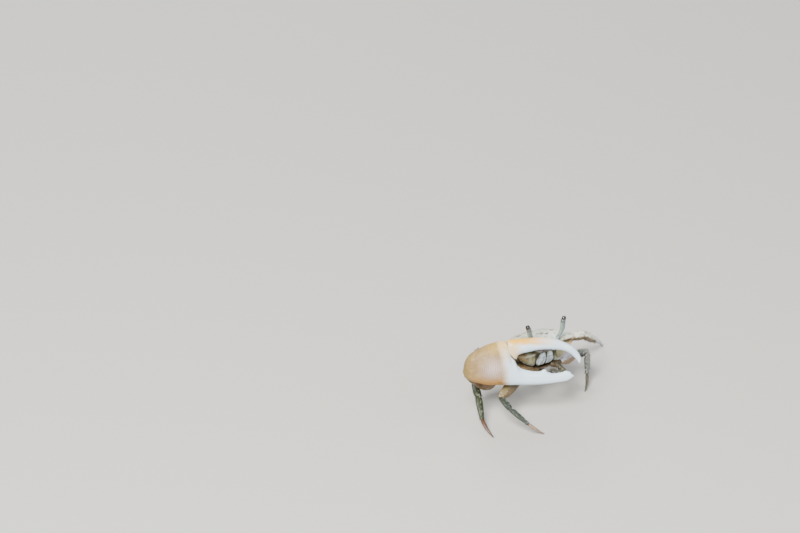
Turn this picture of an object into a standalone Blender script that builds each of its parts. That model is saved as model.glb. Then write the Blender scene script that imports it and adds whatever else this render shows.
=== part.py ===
"""A life-size male fiddler crab, standing still with its great claw folded across its face.

Shapes are worked out in millimetres in the crab's own frame: x runs to the crab's left, the face
looks along -y, z is up and the floor is z = 0. The finished objects are in metres, each placed at
its own root and parented to an empty that puts the middle of the model over the origin.
"""

import math
import random

import bmesh
import bpy
import numpy as np
from mathutils import Vector

MM = 0.001
GAP = 0.3

# Where the model stands: its middle, in the crab's frame, goes over the origin
MIDDLE_X = 2.05
MIDDLE_Y = 9.07

# Body: shell sizes in the body's frame, whose x-y plane holds the outer corners of the eye sockets
HALF_WIDTH = 8.6
FRONT_REACH = 5.0
CORNER_REACH = 4.4
BACK_REACH = 5.6
CREST = 1.45
CORNER_WIDTH = 0.5
CORNER_HEIGHT = 0.28
CORNER_DEPTH = 0.35
FACE_DEPTH = 6.5
FRONT_LOBE = 0.55
FRONT_LOBE_SPREAD = 1.3
STALK_NOTCH = 0.55
STALK_NOTCH_AT = 2.9
STALK_NOTCH_SPREAD = 0.8
# Powers of the share of the half width that draw the front, the back, the top and the face in
FRONT_POWER = 3.0
BACK_POWER = 4.5
TOP_POWER = 2.2
FACE_POWERS = (2.6, 0.9)
# Powers of the section's quarters: above the outer corners and below them
SECTION_POWERS = (2.6, 3.0)
SOCKET_DEPTH = 0.75
SOCKET_MIDDLE = -0.95
SOCKET_HALF_HEIGHT = 0.85
SOCKET_FROM = 1.5
SOCKET_TO = 8.0
MOUTH_HALF_WIDTH = 2.75
MOUTH_TOP = -1.5
MOUTH_RECESS = 1.7
MOUTH_EDGE = 0.35

# Stance: the point between the eyestalk roots, and how far the face is tipped up
BROW_HEIGHT = 17.8
BROW_IN_BODY = np.array((0.0, -5.2, 0.6))
BODY_PITCH = math.radians(15)

# Thorax and tail
THORAX_HALF_WIDTH = 4.5
THORAX_DEPTH = 7.3
THORAX_SIDE_RISE = 1.0
THORAX_END_SHRINK = 0.86
THORAX_BACK = 5.0
THORAX_BACK_TAPER = 2.2
ROOF_GAP = 0.45
THORAX_FRONT_SET_BACK = 0.75
# The front of the breast, under the mouth: its reach and height in the body's frame, how far its sides
# lie back and up from there, and how far its front edge drops towards the sides
BREAST_FRONT = -2.9
BREAST_TOP = -6.4
BREAST_SIDE_BACK = 1.5
BREAST_SIDE_RISE = 0.7
BREAST_SIDE_DROP = 0.65
FLOOR_POINTS = 6
FLOOR_RISE_POWER = 2.2
FLOOR_FULLNESS = 0.6
TAIL_THICKNESS = 0.7
# Path of the folded tail under the mid line, in the body's frame: y, z and half width
TAIL_ROWS = (
    (5.45, -3.1, 2.3), (5.95, -4.0, 2.4), (5.7, -5.6, 2.3), (4.6, -7.1, 2.0),
    (2.6, -7.95, 1.7), (0.4, -8.1, 1.4), (-1.0, -8.0, 1.0), (-1.8, -7.8, 0.6),
)
TAIL_RINGS = 14

# Mouth cover: each plate's inner edge, its outer edge at its widest and the share of that at its ends
PLATE_INNER = 0.17
PLATE_OUTER = 2.45
PLATE_END_SHARE = 0.7
PLATE_TOP = -2.1
PLATE_HEIGHT = 3.8
PLATE_THICKNESS = 0.9
# How far the plates stand back from the face at their inner edge, at the top and at the chin
PLATE_SET_BACK = (0.05, 0.45)
# How far they slope back for each millimetre outwards, at the top and at the chin
PLATE_SPLAY = (0.16, 0.3)
PLATE_END_GROWTH = 0.55

# Feelers: path in the body's frame on the left side, with the radius at each point
FEELER_PATH = ((1.55, -5.75, -1.05), (2.2, -6.15, -1.1), (2.9, -6.45, -0.9), (3.6, -6.6, -0.5))
FEELER_RADII = (0.34, 0.28, 0.25, 0.22)

# Eyes
STALK_LEANS = {"left": 2.2, "right": 2.5}
STALK_RISE = 6.2
STALK_ROOT_X = 3.0
STALK_SINK = 1.4
STALK_RADIUS = 0.5
# Shares of the stalk's radius and distances below its upper end, then above its root
STALK_TOP = ((1.0, 0.15), (1.24, 0.3), (1.12, 1.1), (0.96, 2.2))
STALK_FOOT = ((1.0, 1.5), (1.05, 0.3))
EYE_RADIUS = 0.6
EYE_LENGTH = 1.25
# Shares of the eye's radius and of its length, from its top down
EYE_PROFILE = ((0.0, 1.0), (0.5, 0.94), (0.84, 0.76), (1.0, 0.5), (0.94, 0.24), (0.8, 0.12), (0.0, 0.12))
TURNED_STEPS = 14

# Walking legs: the third leg is the pattern, and the others are scaled from it
LEG_LENGTHS = {"merus": 12.0, "carpus": 4.7, "propodus": 6.6, "dactyl": 5.6}
LEG_SCALES = {2: 0.9, 3: 1.0, 4: 1.0, 5: 0.84}
LEG_ROOTS = {
    1: (3.5, -3.3, -6.9),
    2: (5.1, -1.8, -6.6),
    3: (5.6, 0.6, -5.4),
    4: (5.4, 2.8, -4.9),
    5: (4.3, 4.6, -4.2),
}
# Hip stubs on the thorax: length, radius of the end at full leg size, and growth towards the thorax
HIP_LENGTH = 1.9
HIP_RADIUS = 0.6
HIP_FLARE = 0.2
CLAW_HIP_LENGTH = 1.6
CLAW_HIP_RADIUS = 0.65
CLAW_HIP_FLARE = 0.1
CLAW_HIP_WAYS = {"left": (0.6, -0.8, -0.05), "right": (-0.75, -0.6, 0.25)}
# Fraction of the length, full height and full thickness along each kind of segment
LEG_SECTIONS = {
    "merus": (
        (0.0, 1.7, 1.3), (0.09, 2.1, 1.4), (0.16, 1.85, 1.3), (0.27, 2.7, 1.45),
        (0.48, 3.3, 1.6), (0.72, 3.15, 1.55), (0.9, 2.45, 1.45), (1.0, 1.8, 1.3),
    ),
    "carpus": ((0.0, 1.4, 1.2), (0.22, 1.9, 1.45), (0.6, 2.25, 1.6), (0.9, 2.1, 1.5), (1.0, 1.5, 1.2)),
    "propodus": ((0.0, 1.35, 1.1), (0.18, 1.95, 1.4), (0.55, 1.8, 1.35), (0.9, 1.25, 1.0), (1.0, 1.0, 0.85)),
    "dactyl": ((0.0, 0.85, 0.75), (0.2, 1.05, 0.85), (0.55, 0.85, 0.7), (0.85, 0.56, 0.52), (1.0, 0.44, 0.44)),
}
LEG_RINGS = {"merus": 9, "carpus": 6, "propodus": 6, "dactyl": 6}
LEG_SIDES = {"merus": 12, "carpus": 12, "propodus": 10, "dactyl": 8}
DACTYL_BOW = 0.35
# How far the front face of each leg is rolled upwards, in degrees
LEG_ROLLS = {
    ("right", 2): 40,
    ("right", 3): 34,
    ("right", 4): 16,
    ("right", 5): 8,
    ("left", 2): 14,
    ("left", 3): 10,
    ("left", 4): 8,
    ("left", 5): 5,
}
MITRE_BLEND = 2.4

# Pose of each leg: (heading, pitch) of merus, carpus and propodus, and the heading of the dactyl.
# Heading is turned back from straight out to the side, pitch is upwards, both in degrees.
LEG_POSES = {
    ("right", 2): ((-27, -14.6), (-96, -15), (-126, -31), -160),
    ("right", 3): ((10, -17), (-74, -12), (-72, -30), -98),
    ("right", 4): ((70, -22), (100, -10), (112, -36), 130),
    ("right", 5): ((84, -27), (104, -8), (116, -40), 120),
    ("left", 2): ((38.5, -17.5), (-72, 25), (-116, -84), -125),
    ("left", 3): ((47, -9), (5, -10), (26, -38), 32),
    ("left", 4): ((62, -20), (66, -8), (70, -42), 66),
    ("left", 5): ((80, -22), (88, -6), (92, -46), 88),
}

# Great claw: its own frame has u along the claw, v up its height and w out of its outer face
CLAW_ROOT = (-22.4, 1.73, 15.85)
CLAW_YAW = math.radians(-20)
CLAW_DROOP = math.radians(-4.3)
CLAW_LEAN = math.radians(15)
CLAW_INWARD = 1.2
CLAW_LENGTH = 30.0
# Sections of the hand with its fixed finger: top u and v, bottom u and v, thickness
HAND_SECTIONS = (
    (0.1, -0.7, 0.1, -1.7, 1.2),
    (0.4, 1.1, 0.6, -2.75, 2.7),
    (1.4, 2.9, 1.7, -3.45, 4.0),
    (3.3, 4.2, 4.0, -4.15, 4.9),
    (5.7, 5.5, 6.4, -4.6, 5.2),
    (8.1, 6.3, 8.9, -4.65, 5.0),
    (10.1, 6.45, 10.8, -4.65, 4.6),
    (10.95, 5.0, 12.0, -4.7, 4.2),
    (11.45, 3.1, 13.0, -4.7, 3.8),
    (12.6, 1.5, 14.0, -4.7, 3.4),
    (13.4, 0.1, 15.2, -4.75, 3.0),
    (14.7, -0.8, 16.6, -4.75, 2.7),
    (17.5, -1.45, 18.8, -4.7, 2.4),
    (20.5, -1.6, 21.3, -4.55, 2.2),
    (23.2, -2.1, 23.9, -4.25, 1.9),
    (25.7, -1.7, 26.2, -3.95, 1.6),
    (27.1, -1.8, 27.4, -3.4, 1.2),
    (27.95, -2.4, 27.95, -2.9, 0.6),
)
# Sections of the moving finger: the same, and how far the section bows back towards the hand
FINGER_SECTIONS = (
    (10.75, 6.6, 13.3, 1.9, 2.6, 0.75),
    (11.4, 6.85, 13.4, 2.5, 3.1, 0.35),
    (12.9, 7.05, 14.0, 3.2, 3.2, 0.1),
    (15.5, 7.2, 16.0, 3.8, 3.0, 0.0),
    (18.3, 7.42, 18.4, 4.3, 2.8, 0.0),
    (21.6, 7.3, 21.0, 4.45, 2.6, 0.0),
    (24.4, 6.5, 23.6, 4.35, 2.3, 0.0),
    (26.9, 5.35, 25.9, 3.85, 2.0, 0.0),
    (28.6, 3.95, 27.5, 2.8, 1.7, 0.0),
    (29.6, 2.45, 28.5, 1.75, 1.4, 0.0),
    (29.85, 1.35, 29.1, 0.95, 0.9, 0.0),
    (29.6, 0.8, 29.35, 0.7, 0.5, 0.0),
)
HAND_RINGS = 26
HAND_SIDES = 20
FINGER_RINGS = 18
FINGER_SIDES = 16
# Teeth along the biting edges: share of the section list where the row starts and ends
TOOTH_COUNT = 13
TOOTH_RADIUS = 0.4
TOOTH_TIP_SHARE = 0.35
TOOTH_HEIGHT = 0.22
TOOTH_SINK = 0.45
TOOTH_SIDES = 6
TOOTH_SPREAD = (0.85, 1.15)
HAND_TOOTH_ROW = (0.66, 0.93)
FINGER_TOOTH_ROW = (0.3, 0.86)
BIG_TEETH = {4: 2.0, 11: 1.7}

# Arm of the great claw, in the claw's frame: u, v, w, height, thickness at each section. The merus
# starts at its root on the thorax, so its first section is only a height and a thickness.
GREAT_MERUS_ROOT = (1.7, 1.7)
GREAT_ELBOW_WAY = (-0.9, -0.4, 0.12)
GREAT_MERUS_SECTIONS = (
    (17.1, -2.3, -4.45, 1.75, 1.7),
    (16.0, -1.9, -3.75, 1.9, 1.8),
    (14.1, -1.75, -3.8, 2.2, 2.1),
    (12.0, -1.95, -4.5, 3.1, 2.5),
    (10.3, -2.6, -5.2, 3.9, 2.7),
    (9.2, -3.0, -5.4, 3.4, 2.4),
)
GREAT_CARPUS_SECTIONS = (
    (8.75, -3.3, -5.3, 3.3, 2.2),
    (8.0, -3.6, -5.0, 6.2, 3.0),
    (6.6, -3.95, -4.7, 7.0, 3.6),
    (4.6, -3.5, -4.3, 5.2, 3.8),
    (2.8, -2.9, -3.6, 4.1, 3.4),
    (2.0, -2.5, -2.8, 2.6, 2.2),
)

# Small claw: elbow, wrist and tip in the crab's frame, and fraction, height and thickness by section
SMALL_CLAW_JOINTS = ((4.6, -2.4, 8.2), (2.9, -3.6, 8.9), (-0.6, -3.4, 11.6))
SMALL_CLAW_SECTIONS = {
    "merus": ((0.0, 1.3, 1.2), (0.2, 1.6, 1.3), (0.6, 1.9, 1.4), (0.9, 1.7, 1.3), (1.0, 1.3, 1.1)),
    "carpus": ((0.0, 1.2, 1.0), (0.3, 1.7, 1.4), (0.7, 1.8, 1.4), (1.0, 1.2, 1.0)),
}
SMALL_HAND_HEIGHT = 1.8
SMALL_HAND_THICKNESS = 1.2
# Share of the length, top and bottom as shares of the height, share of the thickness
SMALL_HAND_ROWS = (
    (0.0, 0.3, -0.3, 0.7), (0.12, 0.45, -0.45, 1.0), (0.38, 0.5, -0.5, 1.0), (0.47, 0.25, -0.5, 0.85),
    (0.55, -0.1, -0.48, 0.6), (0.8, -0.08, -0.36, 0.5), (1.0, -0.04, -0.24, 0.4),
)
SMALL_FINGER_ROWS = (
    (0.54, 0.46, 0.14, 0.7), (0.64, 0.46, 0.18, 0.62), (0.8, 0.4, 0.14, 0.5), (1.0, 0.2, 0.02, 0.4),
)


def body_point(point):
    """Turn a point of the body's frame into the crab's frame: tip the face up and lift it to its height."""
    c, s = math.cos(BODY_PITCH), math.sin(BODY_PITCH)
    turn = np.array(((1.0, 0.0, 0.0), (0.0, c, s), (0.0, -s, c)))
    origin = np.array((0.0, 0.0, BROW_HEIGHT)) - turn @ BROW_IN_BODY
    return origin + np.asarray(point, float) @ turn.T


def claw_axes():
    """The great claw's three directions: along it, up its height and out of its outer face."""
    along = np.array(
        (
            math.cos(CLAW_YAW) * math.cos(CLAW_DROOP),
            math.sin(CLAW_YAW) * math.cos(CLAW_DROOP),
            math.sin(CLAW_DROOP),
        )
    )
    out = np.array(
        (
            math.sin(CLAW_YAW) * math.cos(CLAW_LEAN),
            -math.cos(CLAW_YAW) * math.cos(CLAW_LEAN),
            math.sin(CLAW_LEAN),
        )
    )
    out = unit(out - along * (out @ along))
    return along, np.cross(out, along), out


def claw_point(point):
    """Turn (u, v, w) of the great claw's frame into the crab's frame, the tips curved towards the body."""
    point = np.asarray(point, float)
    along, height, out = claw_axes()
    inward = CLAW_INWARD * (point[..., 0] / CLAW_LENGTH) ** 2
    return (
        np.array(CLAW_ROOT)
        + point[..., 0:1] * along
        + point[..., 1:2] * height
        + (point[..., 2:3] - inward[..., None]) * out
    )


def into_claw(point):
    """Turn a point of the crab's frame into (u, v, w) of the great claw's frame."""
    u, v, w = (float((np.asarray(point) - CLAW_ROOT) @ axis) for axis in claw_axes())
    return np.array((u, v, w + CLAW_INWARD * (u / CLAW_LENGTH) ** 2))


def unit(vector):
    """The vector scaled to length one."""
    vector = np.asarray(vector, float)
    return vector / np.linalg.norm(vector)


def heading_direction(side, heading, pitch):
    """Unit vector turned back by heading from straight out on one side, and up by pitch."""
    h, p = math.radians(heading), math.radians(pitch)
    return np.array((side * math.cos(h) * math.cos(p), math.sin(h) * math.cos(p), math.sin(p)))


def oval(count, power=2.0):
    """Points of a unit superellipse, counted round from the first axis to the second."""
    angle = np.linspace(0.0, 2.0 * math.pi, count, endpoint=False)
    c, s = np.cos(angle), np.sin(angle)
    return np.stack((np.sign(c) * np.abs(c) ** (2 / power), np.sign(s) * np.abs(s) ** (2 / power)), 1)


def smooth_rows(rows, count):
    """Rows spaced evenly along a Catmull-Rom curve through the given rows, column by column."""
    rows = np.asarray(rows, float)
    padded = np.vstack((2 * rows[0] - rows[1], rows, 2 * rows[-1] - rows[-2]))
    place = np.linspace(0.0, len(rows) - 1.0, count)
    index = np.minimum(place.astype(int), len(rows) - 2)
    t = (place - index)[:, None]
    a, b, c, d = (padded[index + k] for k in range(4))
    return 0.5 * (2 * b + (c - a) * t + (2 * a - 5 * b + 4 * c - d) * t**2 + (3 * b - a - 3 * c + d) * t**3)


def swell(value):
    """A smooth hump: one in the middle, falling to nothing at -1 and 1."""
    return np.where(np.abs(value) < 1.0, np.cos(0.5 * math.pi * np.clip(value, -1, 1)) ** 2, 0.0)


def step(value):
    """A smooth step from nothing at 0 to one at 1."""
    value = np.clip(value, 0.0, 1.0)
    return value * value * (3.0 - 2.0 * value)


def material(name, colour, roughness):
    """A Principled finish in one colour."""
    finish = bpy.data.materials.new(name)
    finish.use_nodes = True
    shader = finish.node_tree.nodes["Principled BSDF"]
    shader.inputs["Base Color"].default_value = (*colour, 1.0)
    shader.inputs["Roughness"].default_value = roughness
    shader.inputs["Metallic"].default_value = 0.0
    return finish


def mesh_object(name, mesh, collection):
    """A new object for the mesh, in the collection."""
    piece = bpy.data.objects.new(name, mesh)
    collection.objects.link(piece)
    return piece


def loft(name, rings, collection, root=None):
    """A closed skin through rings of equal count, in millimetres, with a fan on each end.

    The object stands at its root, which is the middle of the first ring unless another is given.
    """
    rings = np.asarray(rings, float)
    root = rings[0].mean(0) if root is None else np.asarray(root, float)
    rings = (rings - root) * MM
    count, sides = rings.shape[:2]
    first = rings[0].mean(0)
    last = rings[-1].mean(0)
    points = np.vstack((rings.reshape(-1, 3), first, last))
    index = np.arange(count * sides).reshape(count, sides)
    after = np.roll(index, -1, 1)
    quads = np.stack((index[:-1], after[:-1], after[1:], index[1:]), -1).reshape(-1, 4)
    start = np.stack((after[0], index[0], np.full(sides, count * sides)), 1)
    end = np.stack((index[-1], after[-1], np.full(sides, count * sides + 1)), 1)
    mesh = bpy.data.meshes.new(name)
    mesh.from_pydata(points.tolist(), [], quads.tolist() + start.tolist() + end.tolist())
    turn_out(mesh)
    piece = mesh_object(name, mesh, collection)
    piece.location = Vector(root * MM)
    return piece


def turn_out(mesh):
    """Give all faces of a closed mesh the same sense, outwards."""
    work = bmesh.new()
    work.from_mesh(mesh)
    bmesh.ops.recalc_face_normals(work, faces=work.faces)
    work.to_mesh(mesh)
    work.free()


def baked(piece):
    """Replace a piece's mesh by its evaluated mesh and drop its modifiers."""
    bpy.context.view_layer.update()
    evaluated = piece.evaluated_get(bpy.context.evaluated_depsgraph_get())
    mesh = bpy.data.meshes.new_from_object(evaluated)
    piece.modifiers.clear()
    piece.data = mesh
    return piece


def keep_largest(piece):
    """Delete all but the largest connected surface of a piece."""
    work = bmesh.new()
    work.from_mesh(piece.data)
    left = set(work.faces)
    best = set()
    while left:
        seed = left.pop()
        group = {seed}
        edge_faces = [seed]
        while edge_faces:
            face = edge_faces.pop()
            for edge in face.edges:
                for other in edge.link_faces:
                    if other in left:
                        left.remove(other)
                        group.add(other)
                        edge_faces.append(other)
        if sum(f.calc_area() for f in group) > sum(f.calc_area() for f in best):
            best = group
    bmesh.ops.delete(work, geom=[f for f in work.faces if f not in best], context="FACES")
    work.to_mesh(piece.data)
    work.free()


def combine(piece, others, operation):
    """Join others to a piece, or cut them out of it, in one Boolean, and remove them."""
    group = bpy.data.collections.new("cutters")
    for other in others:
        for owner in list(other.users_collection):
            owner.objects.unlink(other)
        group.objects.link(other)
    bpy.context.scene.collection.children.link(group)
    boolean = piece.modifiers.new("combine", "BOOLEAN")
    boolean.operation = operation
    boolean.operand_type = "COLLECTION"
    boolean.collection = group
    boolean.solver = "EXACT"
    baked(piece)
    for other in others:
        bpy.data.objects.remove(other)
    bpy.data.collections.remove(group)
    keep_largest(piece)
    return piece


def grown_copy(piece, margin, collection):
    """A copy of a piece with its skin moved out by the margin, for cutting a neighbour clear of it."""
    work = bmesh.new()
    work.from_mesh(piece.data)
    work.normal_update()
    for vert in work.verts:
        vert.co += vert.normal * margin * MM
    mesh = bpy.data.meshes.new(piece.name + "_grown")
    work.to_mesh(mesh)
    work.free()
    copy = mesh_object(mesh.name, mesh, collection)
    copy.location = piece.location
    return copy


def cut_clear(piece, neighbour, collection):
    """Cut a piece back so that it lies face to face with its neighbour."""
    return combine(piece, [grown_copy(neighbour, GAP, collection)], "DIFFERENCE")


def cone(name, foot, tip, foot_radius, tip_radius, sides, collection):
    """A cone with capped ends from foot to tip, in millimetres."""
    foot, tip = np.asarray(foot, float), np.asarray(tip, float)
    mesh = bpy.data.meshes.new(name)
    work = bmesh.new()
    bmesh.ops.create_cone(
        work, cap_ends=True, segments=sides, radius1=foot_radius * MM, radius2=tip_radius * MM,
        depth=float(np.linalg.norm(tip - foot)) * MM,
    )
    work.to_mesh(mesh)
    work.free()
    piece = mesh_object(name, mesh, collection)
    point_along(piece, (foot + tip) / 2, tip - foot)
    return piece


def point_along(piece, place, way):
    """Stand a piece at a place, in millimetres, with its own z axis along the way."""
    piece.location = Vector(place) * MM
    piece.rotation_mode = "QUATERNION"
    piece.rotation_quaternion = Vector(way).to_track_quat("Z", "Y")


def turned(name, profile, root, axis, collection):
    """A turned shape: profile holds radius and height pairs in millimetres, from the top down."""
    mesh = bpy.data.meshes.new(name)
    points = [(radius * MM, 0.0, height * MM) for radius, height in profile]
    mesh.from_pydata(points, [(k, k + 1) for k in range(len(points) - 1)], [])
    piece = mesh_object(name, mesh, collection)
    screw = piece.modifiers.new("turn", "SCREW")
    screw.steps = TURNED_STEPS
    screw.render_steps = TURNED_STEPS
    screw.use_merge_vertices = True
    screw.merge_threshold = 0.00005
    point_along(piece, root, axis)
    return piece


# Shell of the body

def shell_limits(x):
    """Front, back, top and bottom reach of the shell at a distance x from the mid line."""
    t = min(abs(x) / HALF_WIDTH, 1.0)
    front = -FRONT_REACH - FRONT_LOBE * math.exp(-((x / FRONT_LOBE_SPREAD) ** 2))
    front += STALK_NOTCH * math.exp(-(((abs(x) - STALK_NOTCH_AT) / STALK_NOTCH_SPREAD) ** 2))
    front += (FRONT_REACH - CORNER_REACH) * t**FRONT_POWER
    back = BACK_REACH - (BACK_REACH + CORNER_REACH - CORNER_WIDTH) * t**BACK_POWER
    top = CORNER_HEIGHT + (CREST - CORNER_HEIGHT) * (1.0 - t**TOP_POWER)
    bottom = CORNER_DEPTH + (FACE_DEPTH - CORNER_DEPTH) * (1.0 - t ** FACE_POWERS[0]) ** FACE_POWERS[1]
    return front, back, top, bottom


SHELL_ANGLES = np.radians(
    np.concatenate(
        (
            np.linspace(-60.0, -24.0, 5),
            np.linspace(-17.0, 5.0, 9),
            np.linspace(14.0, 166.0, 13),
            np.linspace(174.0, 192.0, 3),
        )
    )
)
UNDER_STEPS = 3


def shell_arc(x):
    """The outside of the shell at x as y and z: four quarter superellipses, with the eye socket and mouth."""
    front, back, top, bottom = shell_limits(x)
    middle = 0.5 * (front + back)
    c, s = np.cos(SHELL_ANGLES), np.sin(SHELL_ANGLES)
    reach = np.where(c > 0, middle - front, back - middle)
    rise = np.where(s > 0, top, bottom)
    power = np.where(s > 0, *SECTION_POWERS)
    y = middle - np.sign(c) * reach * np.abs(c) ** (2 / power)
    z = np.sign(s) * rise * np.abs(s) ** (2 / power)
    beside = step((abs(x) - SOCKET_FROM) / 0.5) * step((SOCKET_TO - abs(x)) / 0.9)
    socket = SOCKET_DEPTH * beside * swell((z - SOCKET_MIDDLE) / SOCKET_HALF_HEIGHT)
    within = step((MOUTH_HALF_WIDTH + MOUTH_EDGE - abs(x)) / MOUTH_EDGE)
    mouth = MOUTH_RECESS * within * step((MOUTH_TOP - z) / 0.4)
    y = y + np.where(c > 0, socket + mouth, 0.0)
    return y, z


def under_line(x):
    """The under edge of the shell at x, from the back margin to the foot of the face, as y and z."""
    y, z = shell_arc(x)
    front, back, top, bottom = shell_limits(x)
    middle = 0.5 * (front + back)
    knots = np.array(
        (
            (y[-1], z[-1]),
            (middle + 0.3 * (y[-1] - middle), -0.45 * bottom),
            (middle + 0.55 * (y[0] - middle), -0.5 * bottom),
            (y[0], z[0]),
        )
    )
    return knots


def shell_ring(x):
    """The closed section of the shell at x, in the crab's frame."""
    y, z = shell_arc(x)
    knots = under_line(x)
    share = np.arange(1, UNDER_STEPS + 1)[:, None] / UNDER_STEPS
    runs = [knots[k] + (knots[k + 1] - knots[k]) * share for k in range(3)]
    under = np.vstack(runs)[:-1]
    outline = np.vstack((np.stack((y, z), 1), under))
    return body_point(np.column_stack((np.full(len(outline), x), outline)))


def mirrored(values):
    """The values and their negatives, in rising order, with nought once."""
    values = sorted(values)
    return [-v for v in reversed(values) if v > 0] + values


def make_carapace(collection):
    stations = mirrored(
        (0.0, 0.8, 1.45, 1.75, 2.1, 2.5, 2.75, 2.95, 3.15, 3.7, 4.4, 5.1, 5.8, 6.5, 7.1, 7.6, 8.0, 8.35, 8.6)
    )
    return loft("carapace", [shell_ring(x) for x in stations], collection, body_point((0.0, 0.0, 0.0)))


def thorax_ring(x):
    """The section of the thorax at x: a roof a gap under the shell, a step down to the breast, and an arc."""
    behind, rear, fore, foot = under_line(x)
    share = min(abs(x) / THORAX_HALF_WIDTH, 1.0)
    back = THORAX_BACK - THORAX_BACK_TAPER * share**2
    slope = (behind[1] - rear[1]) / (behind[0] - rear[0])
    chin = under_line(HALF_WIDTH / 2)[3]
    front = chin[0] + MOUTH_RECESS + THORAX_FRONT_SET_BACK
    breast_top = BREAST_TOP + BREAST_SIDE_RISE * share**2
    roof = np.array(
        (
            (back, rear[1] + slope * (back - rear[0]) - ROOF_GAP),
            (rear[0], rear[1] - ROOF_GAP),
            (fore[0] + THORAX_FRONT_SET_BACK, fore[1] - ROOF_GAP),
            (front, chin[1] - ROOF_GAP),
            (front, breast_top),
            (BREAST_FRONT + BREAST_SIDE_BACK * share**2, breast_top - BREAST_SIDE_DROP * share**2),
        )
    )
    deep = -THORAX_DEPTH + THORAX_SIDE_RISE * share**2
    floor_share = np.arange(1, FLOOR_POINTS + 1) / (FLOOR_POINTS + 1)
    start, finish = roof[-1], roof[0]
    y = start[0] + (finish[0] - start[0]) * (0.5 - 0.5 * np.cos(math.pi * floor_share))
    level = start[1] + (finish[1] - start[1]) * floor_share**FLOOR_RISE_POWER
    z = level + (deep - level) * np.sin(math.pi * floor_share) ** FLOOR_FULLNESS
    outline = np.vstack((roof, np.stack((y, z), 1)))
    return body_point(np.column_stack((np.full(len(outline), x), outline)))


def make_thorax(collection):
    stations = mirrored((0.0, 1.2, 2.4, 3.3, 4.1, THORAX_HALF_WIDTH))
    rings = [thorax_ring(x) for x in stations]
    for end in (0, -1):
        middle = rings[end].mean(0)
        rings[end] = middle + THORAX_END_SHRINK * (rings[end] - middle)
    thorax = loft("thorax", rings, collection, body_point((0.0, 0.0, -THORAX_DEPTH)))
    stubs = []
    for side_name, side in (("left", 1), ("right", -1)):
        for leg, root in LEG_ROOTS.items():
            hip = body_point((side * root[0], root[1], root[2]))
            if leg == 1:
                axis = unit(CLAW_HIP_WAYS[side_name])
                length, radius, flare = CLAW_HIP_LENGTH, CLAW_HIP_RADIUS, CLAW_HIP_FLARE
            else:
                axis = hip_axis(side, heading_direction(side, *LEG_POSES[side_name, leg][0]))
                length, radius, flare = HIP_LENGTH, HIP_RADIUS * LEG_SCALES[leg], HIP_FLARE
            foot, tip = hip - axis * length, hip - axis * GAP / 2
            stubs.append(cone(f"{side_name}_hip_{leg}", foot, tip, radius + flare, radius, 10, collection))
    return combine(thorax, stubs, "UNION")


def hip_axis(side, way):
    """The way a leg's hip faces: half way between straight out to the side and the leg's own way."""
    return unit(unit(way) + (side, 0.0, 0.0))


def make_abdomen(collection):
    """The narrow tail folded under the thorax: flat ovals along a path under the body."""
    path = smooth_rows(TAIL_ROWS, TAIL_RINGS)
    shape = oval(14, 2.6)
    along = np.gradient(path[:, :2], axis=0)
    along /= np.linalg.norm(along, axis=1)[:, None]
    rings = []
    for (y, z, half), (dy, dz) in zip(path, along):
        normal = np.array((0.0, -dz, dy)) * TAIL_THICKNESS / 2
        rings.append(body_point(np.array((0.0, y, z)) + shape[:, :1] * (half, 0, 0) + shape[:, 1:] * normal))
    return loft("abdomen", rings, collection)


def face_reach(z):
    """How far forward the face lies at a height z near the mouth."""
    front, back, top, bottom = shell_limits(1.4)
    middle = 0.5 * (front + back)
    return middle - (middle - front) * (1.0 - np.abs(z / bottom) ** 3) ** (1 / 3)


def make_maxilliped(side_name, side, collection):
    """One half of the mouth cover: a leaf-shaped plate that slopes back outwards and towards the chin."""
    shape = oval(14, 2.6)
    rings = []
    for share in np.linspace(0.0, 1.0, 9):
        z = PLATE_TOP - PLATE_HEIGHT * share
        wide = math.sin(math.pi * share**0.8)
        outer = PLATE_OUTER * (PLATE_END_SHARE + (1.0 - PLATE_END_SHARE) * wide)
        set_back, splay = (low + (high - low) * share for low, high in (PLATE_SET_BACK, PLATE_SPLAY))
        grow = PLATE_END_GROWTH + (1.0 - PLATE_END_GROWTH) * max(math.sin(math.pi * share), 0.0) ** 0.4
        middle = (PLATE_INNER + outer) / 2
        half = (outer - PLATE_INNER) / 2 * grow
        depth = PLATE_THICKNESS / 2 * grow
        x = middle + shape[:, 0] * half
        y = face_reach(z) + set_back + PLATE_THICKNESS / 2 + splay * (x - PLATE_INNER) + shape[:, 1] * depth
        rings.append(body_point(np.column_stack((side * x, y, np.full(len(x), z)))))
    return loft(f"maxilliped_{side_name}", rings, collection)


def make_eye(side_name, side, collection):
    """An eyestalk, swollen at its end, and its cornea, both turned about the same leaning axis."""
    brow = body_point((side * STALK_ROOT_X, BROW_IN_BODY[1], BROW_IN_BODY[2]))
    lean = STALK_LEANS[side_name]
    axis = unit((side * lean, 0.0, STALK_RISE))
    length = math.hypot(lean, STALK_RISE)
    neck = length - EYE_LENGTH
    shares = [(share, neck - below) for share, below in STALK_TOP] + [*STALK_FOOT, (0.7, -STALK_SINK)]
    profile = [(0.0, neck - GAP / 2), *((share * STALK_RADIUS, height) for share, height in shares)]
    stalk = turned(f"eyestalk_{side_name}", [*profile, (0.0, -STALK_SINK)], brow, axis, collection)
    eye = [(share * EYE_RADIUS, neck + part * EYE_LENGTH) for share, part in EYE_PROFILE]
    cornea = turned(f"cornea_{side_name}", eye, brow, axis, collection)
    return stalk, cornea


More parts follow.
